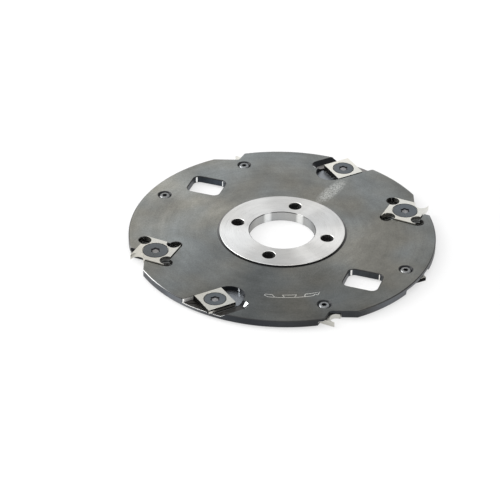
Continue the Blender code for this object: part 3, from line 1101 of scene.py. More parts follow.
@dataclass
class Screw:
    """A countersunk screw with a star recess, and a small socket in its end.

    Its head lies sunk in the insert's face and has an upright rim above the cone. Tool grooves run across it,
    each deepest at the first share of their pitch and ending at the second.
    """

    head_radius: float
    face: float
    thickness: float
    sunk: float = 0.05 * MM
    rim: float = 0.3 * MM
    cone: float = 1.1 * MM
    shank_radius: float = 2.5 * MM
    end_setback: float = 0.2 * MM
    end_chamfer: float = 0.4 * MM
    gap: float = 0.3 * MM
    star_diameter: float = 4.7 * MM
    star_lobe: float = 0.45 * MM
    star_depth: float = 0.5 * MM
    star_floor_share: float = 0.72
    socket_diameter: float = 2.5 * MM
    socket_lobe: float = 0.21 * MM
    socket_depth: float = 1.2 * MM
    socket_floor_share: float = 0.9
    groove_count: int = 7
    groove_depth: float = 0.012 * MM
    groove_shares: tuple[float, float] = (0.3, 0.6)
    head_ease: float = 0.08 * MM
    head_side: float = 0.1 * MM
    far_chamfer: float = 0.6 * MM
    near: float = 0.01 * MM

    @property
    def top(self) -> float:
        """Return the height of the head."""
        return self.face - self.sunk

    @property
    def end(self) -> float:
        """Return the height of the screw's end."""
        return -self.thickness + self.end_setback

    def profile(self) -> list[Point]:
        """Return the half section, with fine tool grooves across the head."""
        top, end, ease = self.top, self.end, self.head_ease
        low_rim = top - self.rim
        points = [
            (0.0, end),
            (self.shank_radius - self.end_chamfer, end),
            (self.shank_radius, end + self.end_chamfer),
            (self.shank_radius, low_rim - self.cone + self.gap / 2),
            (self.head_radius, low_rim),
            (self.head_radius, top - ease),
            (self.head_radius - ease, top),
        ]
        inner = self.star_diameter / 2 + 2 * ease
        pitch = (self.head_radius - 3 * ease - inner) / self.groove_count
        deepest, inmost = (pitch * share for share in self.groove_shares)
        for number in range(self.groove_count):
            outer = self.head_radius - 2 * ease - number * pitch
            points += [(outer, top), (outer - deepest, top - self.groove_depth), (outer - inmost, top)]
        points.append((0.0, top))
        return points

    def model(self) -> bpy.types.Mesh:
        """Model the screw about the local Z axis.

        Returns:
            Its mesh, which the stations copy to their places.
        """
        top, end = self.top, self.end
        recess = Stock.star(
            self.star_diameter, self.star_lobe, top + self.near, top - self.star_depth, self.star_floor_share
        )
        socket = Stock.star(
            self.socket_diameter,
            self.socket_lobe,
            end - self.near,
            end + self.socket_depth,
            self.socket_floor_share,
        )
        bm = Workshop.carved(Stock.turned(self.profile(), DETAIL.screw), [recess, socket])
        for face in bm.faces:
            face.material_index = self.surface_of(face).value
        mesh = bpy.data.meshes.new("screw_model")
        bm.to_mesh(mesh)
        bm.free()
        return mesh

    def surface_of(self, face: bmesh.types.BMFace) -> ScrewPart:
        """Tell which finish a face of the screw has.

        Args:
            face: The face.

        Returns:
            The surface that it belongs to.
        """
        centre = face.calc_center_median()
        distance = centre.xy.length
        at_end = abs(centre.z - self.end) < self.near or face.normal.z < -SLOPED
        if centre.z < self.end + self.end_chamfer and at_end:
            return ScrewPart.END
        # The head's upright rim takes the recess wall's painted shade.
        if distance > self.head_radius - self.head_side and centre.z > self.top - self.rim:
            return ScrewPart.RECESS_WALL
        inside = distance < self.star_diameter / 2 + self.near
        if not inside or abs(centre.z - self.top) < self.near:
            return ScrewPart.TURNED
        # The recess floor takes the painted highlight, its walls the painted shade.
        floor = face.normal.z > LEVEL and centre.z > self.top - self.star_depth - self.near
        return ScrewPart.RECESS_FLOOR if floor else ScrewPart.RECESS_WALL

    def countersink(self, floor: float) -> bmesh.types.BMesh:
        """Return the cutter of the hole in the insert.

        Args:
            floor: The height of the insert's lower face.

        Returns:
            A closed mesh.
        """
        low_rim = self.top - self.rim - self.gap / 2
        hole = self.shank_radius + self.gap
        mouth = self.head_radius + self.gap
        profile = [
            (0.0, floor - CUT_MARGIN),
            (hole, floor - CUT_MARGIN),
            (hole, low_rim - self.cone),
            (mouth, low_rim),
            (mouth, self.face + CUT_MARGIN),
            (0.0, self.face + CUT_MARGIN),
        ]
        return Stock.turned(profile, DETAIL.screw)

    def clearance_hole(self) -> bmesh.types.BMesh:
        """Return the cutter of the hole in the disc, chamfered on the far face."""
        radius = self.shank_radius + self.gap
        profile = [
            (0.0, -self.thickness - CUT_MARGIN),
            (radius + self.far_chamfer + CUT_MARGIN, -self.thickness - CUT_MARGIN),
            (radius, -self.thickness + self.far_chamfer),
            (radius, CUT_MARGIN),
            (0.0, CUT_MARGIN),
        ]
        return Stock.turned(profile, DETAIL.hole)


@dataclass
class InsertKind:
    """What the knives and the spurs have in common: a plate in a seat, held by a screw."""

    heights: Heights
    label: str = ""
    heading: float = 0.0
    tilt: float = 0.0
    gap: float = 0.3 * MM
    below_hub: float = 0.05 * MM
    reach: float = 19 * MM

    def place(self, side: Side, number: int, leaning: bool) -> Matrix:
        """Return where one insert of this kind sits.

        Args:
            side: The face that it is let into.
            number: Which of the two on that face, from 1.
            leaning: Whether to lean with the plate or to lie flat with the disc.

        Returns:
            The matrix from the local frame, whose Z leaves the disc's face.
        """
        low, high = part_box(f"{side.name.lower()}_{self.label}_{number}")
        centre = (low + high) / 2
        azimuth = self.heading + 180.0 * (number - 1) + (0.0 if side is Side.UPPER else 90.0)
        height = self.heights.middle + side.value * self.heights.thickness / 2
        matrix = Matrix.Translation((centre.x, centre.y, height))
        matrix = matrix @ Matrix.Rotation(math.radians(azimuth), 4, "Z")
        matrix = matrix @ Matrix.Diagonal((1.0, 1.0, float(side.value), 1.0))
        if leaning:
            matrix = matrix @ Matrix.Rotation(math.radians(self.tilt), 4, "X")
        return matrix

    def stations(self) -> list[tuple[Side, int]]:
        """Return each face with each of its two places."""
        return [(side, number) for side in Side for number in (1, 2)]

    def plate(self) -> bmesh.types.BMesh:
        """Return the insert's plate."""
        raise NotImplementedError

    def screw(self) -> Screw:
        """Return the insert's screw."""
        raise NotImplementedError

    def seat_cutters(self) -> list[tuple[bmesh.types.BMesh, bool]]:
        """Return what is cut from the disc for one insert, and whether it leans."""
        raise NotImplementedError

    def surface_in_seat(self, centre: Vector, normal: Vector) -> Surface | None:
        """Tell which finish a face of the disc has in an insert's own frame.

        Args:
            centre: The face's centre in that frame.
            normal: The face's normal in that frame.

        Returns:
            The surface, or None where the seat doesn't decide it.
        """
        raise NotImplementedError

    def part_seat_walls(self, bm: bmesh.types.BMesh) -> None:
        """Part the faces of the disc where a finish changes, which most seats don't need."""

    def seats(self) -> list[Matrix]:
        """Return the matrices into the seats' own frames."""
        return [self.place(side, number, leaning=False).inverted() for side, number in self.stations()]

    def surface_of(self, centre: Vector, normal: Vector, seats: Sequence[Matrix]) -> Surface | None:
        """Tell which finish a face of the disc has, where a seat of this kind decides it.

        Args:
            centre: The face's centre.
            normal: The face's normal.
            seats: The matrices into the seats' own frames.

        Returns:
            The surface, or None.
        """
        for seat in seats:
            local = seat @ centre
            if local.xy.length < self.reach and local.z > -self.heights.thickness / 2 - CUT_MARGIN:
                found = self.surface_in_seat(local, (seat.to_3x3() @ normal).normalized())
                if found is not None:
                    return found
        return None

    def cutters(self) -> list[bmesh.types.BMesh]:
        """Return what is cut from the disc for all inserts of this kind, in place."""
        placed = []
        for cutter, leaning in self.seat_cutters():
            mesh = bpy.data.meshes.new("cutter_model")
            cutter.to_mesh(mesh)
            cutter.free()
            for side, number in self.stations():
                placed.append(Stock.placed(mesh, self.place(side, number, leaning)))
            bpy.data.meshes.remove(mesh)
        return placed

    def build(self, finishes: Finishes) -> None:
        """Build the four inserts of this kind with their screws.

        Args:
            finishes: The cutter's finishes.
        """
        plate = bpy.data.meshes.new("plate_model")
        made = self.plate()
        made.to_mesh(plate)
        made.free()
        screw = self.screw().model()
        for side, number in self.stations():
            node = f"{side.name.lower()}_{self.label}_{number}"
            place = self.place(side, number, leaning=True)
            made, turned = Stock.placed(plate, place), Stock.placed(screw, place)
            Workshop.piece(f"{node}_plate", made, finishes.insert, Slot.INSERT, node)
            Workshop.piece(f"{node}_star_screw", turned, finishes.screw, Slot.SCREW, f"{node}_screw")


@dataclass
class Knives(InsertKind):
    """The square knives, which lean so that their leading side cuts, and their gullets.

    A slack says how near the middle of a face has to lie to a wall or floor to belong to it, and a value
    ending in "facing" says how closely its normal has to point away from it.
    """

    label: str = "knife"
    heading: float = 29.6
    tilt: float = 1.5
    side: float = 14.0 * MM
    thickness: float = 2.0 * MM
    relief_radius: float = 7.2 * MM
    relief_setback: float = 0.4 * MM
    relief_depth: float = 2.3 * MM
    wall_end_radius: float = 1.6 * MM
    gullet_offset: float = 2.0 * MM
    gullet_radius: float = 3.6 * MM
    gullet_floor_radius: float = 1.5 * MM
    gullet_depth: float = 1.9 * MM
    gullet_inner_reach: float = 1.5 * MM
    head_radius: float = 5.0 * MM
    edge_ease: float = 0.06 * MM
    # How far the painted shade reaches down the knife's leading side; the other sides are painted dark all
    # down.
    shaded_band: float = 0.9 * MM
    # Where the relief's painted highlight sits, in degrees round the relief, and how far it reaches.
    glint_in_relief: float = 201.0
    glint_arc: float = 4.0
    floor_slack: float = 0.2 * MM
    wall_slack: float = 0.3 * MM
    relief_slack: float = 0.1 * MM
    floor_facing: float = 0.9
    wall_facing: float = 0.9
    open_end_facing: float = 0.7
    gullet_end_facing: float = 0.97
    on_side: float = 1e-6
    nearly_whole: float = 0.999

    @property
    def half(self) -> float:
        """Return half the knife's side."""
        return self.side / 2

    @property
    def wall(self) -> float:
        """Return how far out the seat's wall stands, along local X and Y."""
        return -self.half - self.gap

    @property
    def face(self) -> float:
        """Return the height of the knife's face above the disc's, at its middle."""
        edge_lift = self.half * math.tan(math.radians(self.tilt))
        return self.heights.hub_rise - self.below_hub - edge_lift

    def screw(self) -> Screw:
        """Return the knife's screw."""
        return Screw(self.head_radius, self.face, self.heights.thickness)

    def plate(self) -> bmesh.types.BMesh:
        """Return the knife with its countersunk hole and eased edges."""
        half = self.half
        floor = self.face - self.thickness
        blank = Stock.prism(square(self.side), floor, self.face)
        bm = Workshop.carved(blank, [self.screw().countersink(floor)])
        Workshop.eased(bm, self.edge_ease)
        # The sides take painted shade; the lower band of the leading side keeps the ground colour as a
        # painted highlight.
        land = self.face - self.shaded_band
        geometry = bm.verts[:] + bm.edges[:] + bm.faces[:]
        bmesh.ops.bisect_plane(bm, geom=geometry, dist=MERGE_MADE, plane_co=(0.0, 0.0, land), plane_no=UP)
        for face in bm.faces:
            centre = face.calc_center_median()
            outside = max(abs(centre.x), abs(centre.y)) > half - self.on_side
            if outside and (centre.z > land or centre.y < half - self.on_side):
                face.material_index = Insert.SINTERED.value
        return bm

    def surface_in_seat(self, centre: Vector, normal: Vector) -> Surface | None:
        """Tell which finish a face of the disc has in a knife's seat, relief and gullet, painted highlights
        included.

        Args:
            centre: The face's centre in the knife's frame.
            normal: The face's normal in that frame.

        Returns:
            The surface, or None where the seat doesn't decide it.
        """
        if not -self.relief_depth - self.floor_slack < centre.z < -self.floor_slack:
            return None
        if abs(normal.z) > self.floor_facing:
            in_seat = centre.z > -self.relief_depth + self.floor_slack
            return Surface.SEAT_FLOOR if in_seat else Surface.FLOOR
        on_wall = normal.y > self.open_end_facing and abs(centre.y - self.wall) < self.wall_slack
        # The open end of the seat's wall takes a painted highlight.
        if centre.x > self.half and on_wall:
            return Surface.PAINTED_HIGHLIGHT
        # A narrow strip of the relief's wall takes a painted highlight.
        from_relief = Vector((centre.x + self.half + self.relief_setback, centre.y))
        if abs(from_relief.length - self.relief_radius) < self.relief_slack:
            turn = math.degrees(math.atan2(from_relief.y, from_relief.x)) % 360.0
            return Surface.PAINTED_HIGHLIGHT if abs(turn - self.glint_in_relief) < self.glint_arc else None
        # The gullet's round end takes a painted highlight.
        at_gullet_end = normal.x > self.gullet_end_facing * normal.xy.length
        if centre.x < -self.half - self.gullet_inner_reach and at_gullet_end:
            return Surface.PAINTED_HIGHLIGHT if centre.y > self.half - self.gullet_radius else None
        return None

    def part_seat_walls(self, bm: bmesh.types.BMesh) -> None:
        """Part each seat's wall where the knife ends, so that its open end can take a painted highlight.

        Args:
            bm: The cut disc.
        """
        for seat in self.seats():
            place = seat.inverted()
            walls = []
            for face in bm.faces:
                local = seat @ face.calc_center_median()
                in_seat = -self.relief_depth < local.z < 0.0 and local.xy.length < self.reach
                across = (seat.to_3x3() @ face.normal).y
                if in_seat and across > self.wall_facing and abs(local.y - self.wall) < self.wall_slack:
                    walls.append(face)
            edges = {edge for face in walls for edge in face.edges}
            verts = {vert for face in walls for vert in face.verts}
            bmesh.ops.bisect_plane(
                bm,
                geom=[*verts, *edges, *walls],
                dist=MERGE_MADE,
                plane_co=place @ Vector((self.half + self.gap, 0.0, 0.0)),
                plane_no=place.to_3x3() @ Vector((1.0, 0.0, 0.0)),
            )

    def rim_corner(self, across: float) -> tuple[Vector, Vector]:
        """Return where a line along local X meets the rim, and the way out from there.

        Args:
            across: The line's local Y.

        Returns:
            The point and the unit vector, both in the local plan.
        """
        place = self.place(Side.UPPER, 1, leaning=False)
        axis = place.inverted() @ Vector((0.0, 0.0, self.heights.face))
        along = axis.x + math.sqrt(self.heights.radius**2 - (across - axis.y) ** 2)
        corner = Vector((along, across))
        return corner, (corner - axis.xy).normalized()

    def seat_cutters(self) -> list[tuple[bmesh.types.BMesh, bool]]:
        """Return the seat, the round relief behind it, the gullet and the screw's hole."""
        wall = self.wall
        depth = self.gap - self.face + self.thickness
        corner, outward = self.rim_corner(wall)
        beyond = corner.x + self.side
        out = corner + outward * self.side
        along_rim = corner + Vector((outward.y, -outward.x)) * self.wall_end_radius * 2
        rake_limit = self.half + self.gullet_offset
        outline = [
            Corner(wall, wall),
            Corner(corner.x, corner.y, self.wall_end_radius),
            Corner(along_rim.x, along_rim.y),
            Corner(out.x, out.y),
            Corner(beyond, rake_limit),
            Corner(wall, rake_limit),
        ]
        seat = Stock.prism(outline, -depth, CUT_MARGIN)
        behind = (-self.half - self.relief_setback, 0.0)
        relief = Stock.cylinder(self.relief_radius, -self.relief_depth, CUT_MARGIN, behind)
        return [
            (seat, True),
            (relief, False),
            (self.gullet(beyond), False),
            (self.screw().clearance_hole(), True),
        ]

    def gullet(self, beyond: float) -> bmesh.types.BMesh:
        """Return the cutter of the gullet, a slot with a round end whose walls slope in.

        Args:
            beyond: How far the slot runs out along local X.

        Returns:
            A closed mesh.
        """
        slope = (self.gullet_radius - self.gullet_floor_radius) / self.gullet_depth
        mouth = self.gullet_radius + slope * CUT_MARGIN
        line = self.half + self.gullet_offset
        inner = -self.half - self.gullet_inner_reach - mouth
        rounding = mouth * self.nearly_whole
        outline = [
            Corner(inner, line - mouth, rounding),
            Corner(beyond + mouth, line - mouth),
            Corner(beyond + mouth, line + mouth),
            Corner(inner, line + mouth, rounding),
        ]
        bm = Stock.prism(outline, CUT_MARGIN, CUT_MARGIN + self.gap)
        under = min(bm.faces, key=lambda face: face.calc_center_median().z)
        bmesh.ops.inset_region(
            bm,
            faces=[under],
            thickness=mouth - self.gullet_floor_radius,
            depth=self.gullet_depth + CUT_MARGIN,
            use_even_offset=True,
        )
        return Stock.closed(bm)


@dataclass
class Spurs(InsertKind):
    """The spurs, squares with an arc cut into each side so that each corner is a hooked point."""

    label: str = "spur"
    heading: float = -24.5
    side: float = 17.7 * MM
    thickness: float = 2.45 * MM
    hook_radius: float = 3.3 * MM
    hook_inset: float = 0.3 * MM
    point_width: float = 0.3 * MM
    land: float = 0.5 * MM
    relief_radius: float = 3.0 * MM
    relief_from_corner: float = 2.55 * MM
    relief_outset: float = 0.15 * MM
    relief_depth: float = 0.5 * MM
    open_flank: float = 6.7 * MM
    wall_end_radius: float = 0.8 * MM
    notch_back: float = 4.4 * MM
    notch_inward: float = 5.35 * MM
    notch_flank_angle: float = 114.5
    notch_fillet: float = 1.4 * MM
    edge_ease: float = 0.05 * MM
    slack: float = 0.01 * MM

    @property
    def half(self) -> float:
        """Return half the spur's side."""
        return self.side / 2

    @property
    def face(self) -> float:
        """Return the height of the spur's face above the disc's."""
        return self.heights.hub_rise - self.below_hub

    @property
    def hook_centre(self) -> Point:
        """Return the centre of the arc in the leading side."""
        half_chord = math.sqrt(self.hook_radius**2 - self.hook_inset**2)
        return self.half - self.point_width - half_chord, self.half - self.hook_inset

    def screw(self) -> Screw:
        """Return the spur's screw, whose head leaves a land beside the hooks."""
        hook_gap = math.hypot(*self.hook_centre) - self.hook_radius
        return Screw(hook_gap - self.land - self.gap, self.face, self.heights.thickness)

    def plate(self) -> bmesh.types.BMesh:
        """Return the spur with its four hooks and its countersunk hole."""
        floor = self.face - self.thickness
        cutters = [self.screw().countersink(floor)]
        for quarter in range(4):
            centre = Matrix.Rotation(math.tau * quarter / 4, 2) @ Vector(self.hook_centre)
            low, high = floor - CUT_MARGIN, self.face + CUT_MARGIN
            cutters.append(Stock.cylinder(self.hook_radius, low, high, tuple(centre)))
        bm = Workshop.carved(Stock.prism(square(self.side), floor, self.face), cutters)
        Workshop.eased(bm, self.edge_ease)
        return bm

    def surface_in_seat(self, centre: Vector, normal: Vector) -> Surface | None:
        """Tell which finish a face of the disc has in a spur's corner reliefs, painted dark as shade.

        Args:
            centre: The face's centre in the spur's frame.
            normal: The face's normal in that frame.

        Returns:
            The surface, or None where the seat doesn't decide it.
        """
        inside_disc = -self.heights.thickness < centre.z < -self.gap / 3
        # The corner reliefs are painted black as shade.
        for middle in self.relief_centres():
            if inside_disc and (centre.xy - Vector(middle)).length < self.relief_radius + self.slack:
                return Surface.DRILLED
        return None

    def relief_centres(self) -> list[Point]:
        """Return the centres of the three corner reliefs."""
        along = self.half - self.relief_from_corner
        across = self.half + self.relief_outset
        return [(across, -along), (-along, -across), (-across, along)]

    def seat_cutters(self) -> list[tuple[bmesh.types.BMesh, bool]]:
        """Return the seat, its corner reliefs, the notch through the rim and the screw's hole."""
        half = self.half
        wall = half + self.gap
        step = half - self.open_flank
        beyond = half + self.side
        depth = self.gap - self.face + self.thickness
        outline = [
            Corner(-wall, -wall),
            Corner(wall, -wall),
            Corner(wall, step, self.wall_end_radius),
            Corner(beyond, step),
            Corner(beyond, wall),
            Corner(-wall, wall),
        ]
        cutters = [(Stock.prism(outline, -depth, CUT_MARGIN), False)]
        for centre in self.relief_centres():
            floor = -depth - self.relief_depth
            cutters.append((Stock.cylinder(self.relief_radius, floor, CUT_MARGIN, centre), False))
        inner = Vector((half - self.notch_inward, half - self.notch_back))
        flank = math.radians(self.notch_flank_angle)
        far = inner + 2 * self.side * Vector((math.cos(flank), math.sin(flank)))
        outline = [
            Corner(beyond, inner.y),
            Corner(beyond, far.y),
            Corner(far.x, far.y),
            Corner(inner.x, inner.y, self.notch_fillet),
        ]
        notch = Stock.prism(outline, -self.heights.thickness - CUT_MARGIN, CUT_MARGIN)
        return [*cutters, (notch, False), (self.screw().clearance_hole(), False)]


@dataclass
class HubHole:
    """One of the four tapped holes in the hub."""

    radius: float = 3.15 * MM
    chamfer: float = 0.2 * MM
    circle: float = 22.29 * MM
    azimuth: float = 73.3
    count: int = 4
    pitch: float = 0.8 * MM
    thread_depth: float = 0.36 * MM
    thread_in_wall: float = 0.03 * MM
    thread_root: float = 0.88
    thread_crest: tuple[float, float] = (0.38, 0.5)

    def centres(self) -> list[Vector]:
        """Return the holes' centres in plan."""
        step = 360.0 / self.count
        return [polar(self.circle, self.azimuth + step * number) for number in range(self.count)]

    def cutters(self, top: float) -> list[bmesh.types.BMesh]:
        """Return the cutters of all holes.

        Args:
            top: The hub's height.

        Returns:
            Closed meshes in place.
        """
        mouth = self.radius + self.chamfer + CUT_MARGIN
        profile = [
            (0.0, -CUT_MARGIN),
            (mouth, -CUT_MARGIN),
            (self.radius, self.chamfer),
            (self.radius, top - self.chamfer),
            (mouth, top + CUT_MARGIN),
            (0.0, top + CUT_MARGIN),
        ]
        made = []
        for centre in self.centres():
            bm = Stock.turned(profile, DETAIL.hole)
            bmesh.ops.translate(bm, verts=bm.verts[:], vec=(centre.x, centre.y, 0.0))
            made.append(bm)
        return made

    def threads(self, top: float, material: bpy.types.Material) -> None:
        """Wind a ridge down each hole.

        Args:
            top: The hub's height.
            material: The ridges' material.
        """
        height = top - 2 * self.chamfer - self.pitch
        turns = height / self.pitch
        steps = int(turns * DETAIL.thread)
        outer, inner = self.radius + self.thread_in_wall, self.radius - self.thread_depth
        shares = (0.0, self.thread_root, *reversed(self.thread_crest))
        section = [
            (radius, self.chamfer + self.pitch * share)
            for radius, share in zip((outer, outer, inner, inner), shares)
        ]
        for number, centre in enumerate(self.centres(), start=1):
            bm = bmesh.new()
            face = bm.faces.new([bm.verts.new((radius, 0.0, z)) for radius, z in section])
            bmesh.ops.spin(
                bm,
                geom=[face],
                axis=UP,
                cent=ORIGIN,
                dvec=(0.0, 0.0, height / steps),
                angle=math.tau * turns,
                steps=steps,
            )
            bmesh.ops.translate(bm, verts=bm.verts[:], vec=(centre.x, centre.y, 0.0))
            Workshop.piece(f"hub_thread_{number}", Stock.closed(bm), [material], Slot.DISC)


@dataclass
class Disc:
    """The disc with its hub, bore, windows and every seat."""

    heights: Heights
    holes: HubHole = field(default_factory=HubHole)
    hub_radius: float = 30.1 * MM
    hub_edge: float = 0.14 * MM
    hub_groove: float = 1.0 * MM
    groove_depth: float = 0.12 * MM
    bore_radius: float = 15.875 * MM
    bore_chamfer: float = 0.25 * MM
    rim_edge: float = 0.3 * MM
    flank_width: float = 6.0 * MM
    window_length: float = 16.7 * MM
    window_width: float = 14.2 * MM
    window_corner: float = 3.1 * MM
    window_from_rim: float = 19.0 * MM
    window_azimuth: float = 133.1
    window_turn: float = 28.4
    window_chamfer: float = 0.3 * MM
    # Directions of window wall normals that take a painted highlight, and its reach in degrees.
    painted_highlight_turns: tuple[float, float] = (296.5, 237.0)
    painted_highlight_arc: float = 5.0
    edge_ease: float = 0.14 * MM
    hub_ease: float = 0.06 * MM
    flat_within: float = 0.005 * MM
    near: float = 0.02 * MM
    # How near the disc's middle height and how near the rim open seats' eased edges take a painted highlight.
    seat_band: float = 0.9 * MM
    edge_highlight_width: float = 0.6 * MM

    def profile(self) -> list[Point]:
        """Return the half section of disc and hub."""
        low = self.heights.hub_rise
        high = self.heights.face
        top = self.heights.hub_top
        radius = self.heights.radius
        return [
            (self.bore_radius, self.bore_chamfer),
            (self.bore_radius + self.bore_chamfer, 0.0),
            (self.hub_radius - self.hub_edge, 0.0),
            (self.hub_radius, self.hub_edge),
            (self.hub_radius, low + self.groove_depth),
            (self.hub_radius + self.hub_groove, low + self.groove_depth),
            (self.hub_radius + self.hub_groove, low),
            (radius - self.rim_edge, low),
            (radius, low + self.rim_edge),
            (radius, high - self.rim_edge),
            (radius - self.rim_edge, high),
            (self.hub_radius + self.hub_groove, high),
            (self.hub_radius + self.hub_groove, high - self.groove_depth),
            (self.hub_radius, high - self.groove_depth),
            (self.hub_radius, top - self.hub_edge),
            (self.hub_radius - self.hub_edge, top),
            (self.bore_radius + self.bore_chamfer, top),
            (self.bore_radius, top - self.bore_chamfer),
        ]

    def window_centre(self) -> Vector:
        """Return the first window's centre in plan, which the second has opposite."""
        return polar(self.heights.radius - self.window_from_rim, self.window_azimuth)

    def windows(self) -> list[bmesh.types.BMesh]:
        """Return the cutters of the two windows."""
        x, y, r = self.window_length / 2, self.window_width / 2, self.window_corner
        corners = [Corner(-x, -y, r), Corner(x, -y, r), Corner(x, y, r), Corner(-x, y, r)]
        turn = math.radians(self.window_azimuth + self.window_turn)
        made = []
        for half_turn in (0.0, math.pi):
            place = Matrix.Rotation(half_turn, 4, "Z") @ Matrix.Translation(self.window_centre())
            bm = Stock.prism(corners, -CUT_MARGIN, self.heights.hub_top + CUT_MARGIN)
            bm.transform(place @ Matrix.Rotation(turn, 4, "Z"))
            made.append(bm)
        return made

    def surface_of(
        self, face: bmesh.types.BMFace, seats: Sequence[tuple[InsertKind, list[Matrix]]]
    ) -> Surface:
        """Tell which finish a face of the disc has.

        The flat faces are told first, by their height alone. The cuts part them anew in each run, and the
        middle of a part may lie in a seat.

        Args:
            face: A face of the cut disc, before its edges are eased.
            seats: Each kind of insert with the matrices into its seats' own frames.

        Returns:
            The surface that it belongs to.
        """
        near = self.near
        centre = face.calc_center_median()
        distance = centre.xy.length
        flat = abs(face.normal.z) > LEVEL
        sloped = abs(face.normal.z) > SLOPED
        off_face = min(abs(centre.z - self.heights.hub_rise), abs(centre.z - self.heights.face))
        if flat and off_face < self.flat_within:
            return Surface.FACE
        if flat and abs(off_face - self.groove_depth) < near:
            return Surface.GROOVE
        for kind, frames in seats:
            found = kind.surface_of(centre, face.normal, frames)
            if found is not None:
                return found
        if flat and min(abs(centre.z), abs(centre.z - self.heights.hub_top)) < near:
            return Surface.HUB
        if flat:
            return Surface.FACE if off_face < near else Surface.FLOOR
        if distance < self.bore_radius + self.bore_chamfer:
            return Surface.BORE_EDGE if sloped else Surface.BORE
        if distance < self.hub_radius:
            return Surface.BRIGHT_EDGE if sloped else Surface.WALL
        if distance > self.heights.radius - self.rim_edge - near:
            return Surface.EDGE if sloped else Surface.RIM
        if self.in_window(centre):
            # Window corners that face the given directions take a painted highlight.
            turn = math.degrees(math.atan2(face.normal.y, face.normal.x)) % 360.0
            highlighted = min(abs(turn - where) for where in self.painted_highlight_turns) < self.painted_highlight_arc
            return Surface.PAINTED_HIGHLIGHT if highlighted else Surface.WINDOW
        outward = face.normal.xy.dot(centre.xy) > SLOPED * distance
        open_flank = distance > self.heights.radius - self.flank_width
        return Surface.RIM if outward and open_flank else Surface.WALL

    def in_window(self, centre: Vector) -> bool:
        """Tell whether a wall face belongs to a window.

        Args:
            centre: The face's centre.

        Returns:
            Whether it does.
        """
        middle = self.window_centre().xy
        reach = math.hypot(self.window_length, self.window_width) / 2
        return min((centre.xy - middle).length, (centre.xy + middle).length) < reach

    def chamfer_windows(self, bm: bmesh.types.BMesh) -> None:
        """Chamfer the edges of the windows.

        Args:
            bm: The cut disc with its faces' surfaces told apart.
        """
        walls = {Surface.WINDOW.value, Surface.PAINTED_HIGHLIGHT.value}
        rims = []
        for edge in bm.edges:
            found = {face.material_index for face in edge.link_faces}
            if Surface.FACE.value in found and found & walls and self.in_window(edge.verts[0].co):
                rims.append(edge)
        bmesh.ops.bevel(
            bm,
            geom=rims,
            offset=self.window_chamfer,
            offset_type="OFFSET",
            segments=1,
            profile=0.5,
            affect="EDGES",
            clamp_overlap=False,
            material=Surface.WALL.value,
        )

    def build(self, kinds: Sequence[InsertKind], finishes: Finishes) -> None:
        """Cut, ease and dress the disc.

        Args:
            kinds: The kinds of insert that it carries.
            finishes: The cutter's finishes.
        """
        cutters = self.holes.cutters(self.heights.hub_top) + self.windows()
        for kind in kinds:
            cutters += kind.cutters()
        bm = Workshop.carved(Stock.turned(self.profile(), DETAIL.disc), cutters)
        bmesh.ops.dissolve_degenerate(bm, dist=self.hub_ease / 2, edges=bm.edges[:])
        for kind in kinds:
            kind.part_seat_walls(bm)
        seats = [(kind, kind.seats()) for kind in kinds]
        for face in bm.faces:
            face.material_index = self.surface_of(face, seats).value
        self.chamfer_windows(bm)
        hub = self.hub_radius + self.hub_groove + self.edge_ease
        Workshop.eased(bm, self.edge_ease, material=Surface.EDGE.value, beyond=hub)
        Workshop.eased(bm, self.hub_ease, material=Surface.BRIGHT_EDGE.value, within=hub)
        self.dress_edges(bm)
        self.level_out(bm)
        Workshop.piece("disc_and_hub", bm, finishes.disc, Slot.DISC, "cutter_body")
        self.holes.threads(self.heights.hub_top, finishes.thread)

    def dress_edges(self, bm: bmesh.types.BMesh) -> None:
        """Paint highlights on open seats' edges at the rim, and shade on the bore's edges and the hub's foot.

        Args:
            bm: The disc with its edges eased.
        """
        foot = self.heights.middle - self.heights.hub_rise + 2 * self.hub_ease
        for face in bm.faces:
            centre = face.calc_center_median()
            distance = centre.xy.length
            off_middle = abs(centre.z - self.heights.middle)
            if face.material_index == Surface.EDGE.value:
                # Eased edges of open seats at the rim take a painted highlight.
                gets_highlight = abs(face.normal.z) > SLOPED and off_middle < self.seat_band
                if gets_highlight and distance > self.heights.radius - self.edge_highlight_width:
                    face.material_index = Surface.PAINTED_HIGHLIGHT.value
            elif face.material_index == Surface.BRIGHT_EDGE.value:
                # The bore's edges and the hub's foot take painted shade.
                if distance < self.bore_radius + self.bore_chamfer + self.hub_ease:
                    face.material_index = Surface.BORE_EDGE.value
                elif distance > self.hub_radius - self.hub_ease and off_middle < foot:
                    face.material_index = Surface.GROOVE.value

    def level_out(self, bm: bmesh.types.BMesh) -> None:
        """Hold the mesh within the disc's radius, and put its flat faces exactly on their levels.

        Args:
            bm: The finished disc.
        """
        levels = (0.0, self.heights.hub_rise, self.heights.face, self.heights.hub_top)
        for vert in bm.verts:
            vert.co.xy *= min(1.0, self.heights.radius / max(vert.co.xy.length, self.bore_radius))
            level = min(levels, key=lambda height: abs(height - vert.co.z))
            if abs(level - vert.co.z) < self.flat_within:
                vert.co.z = level


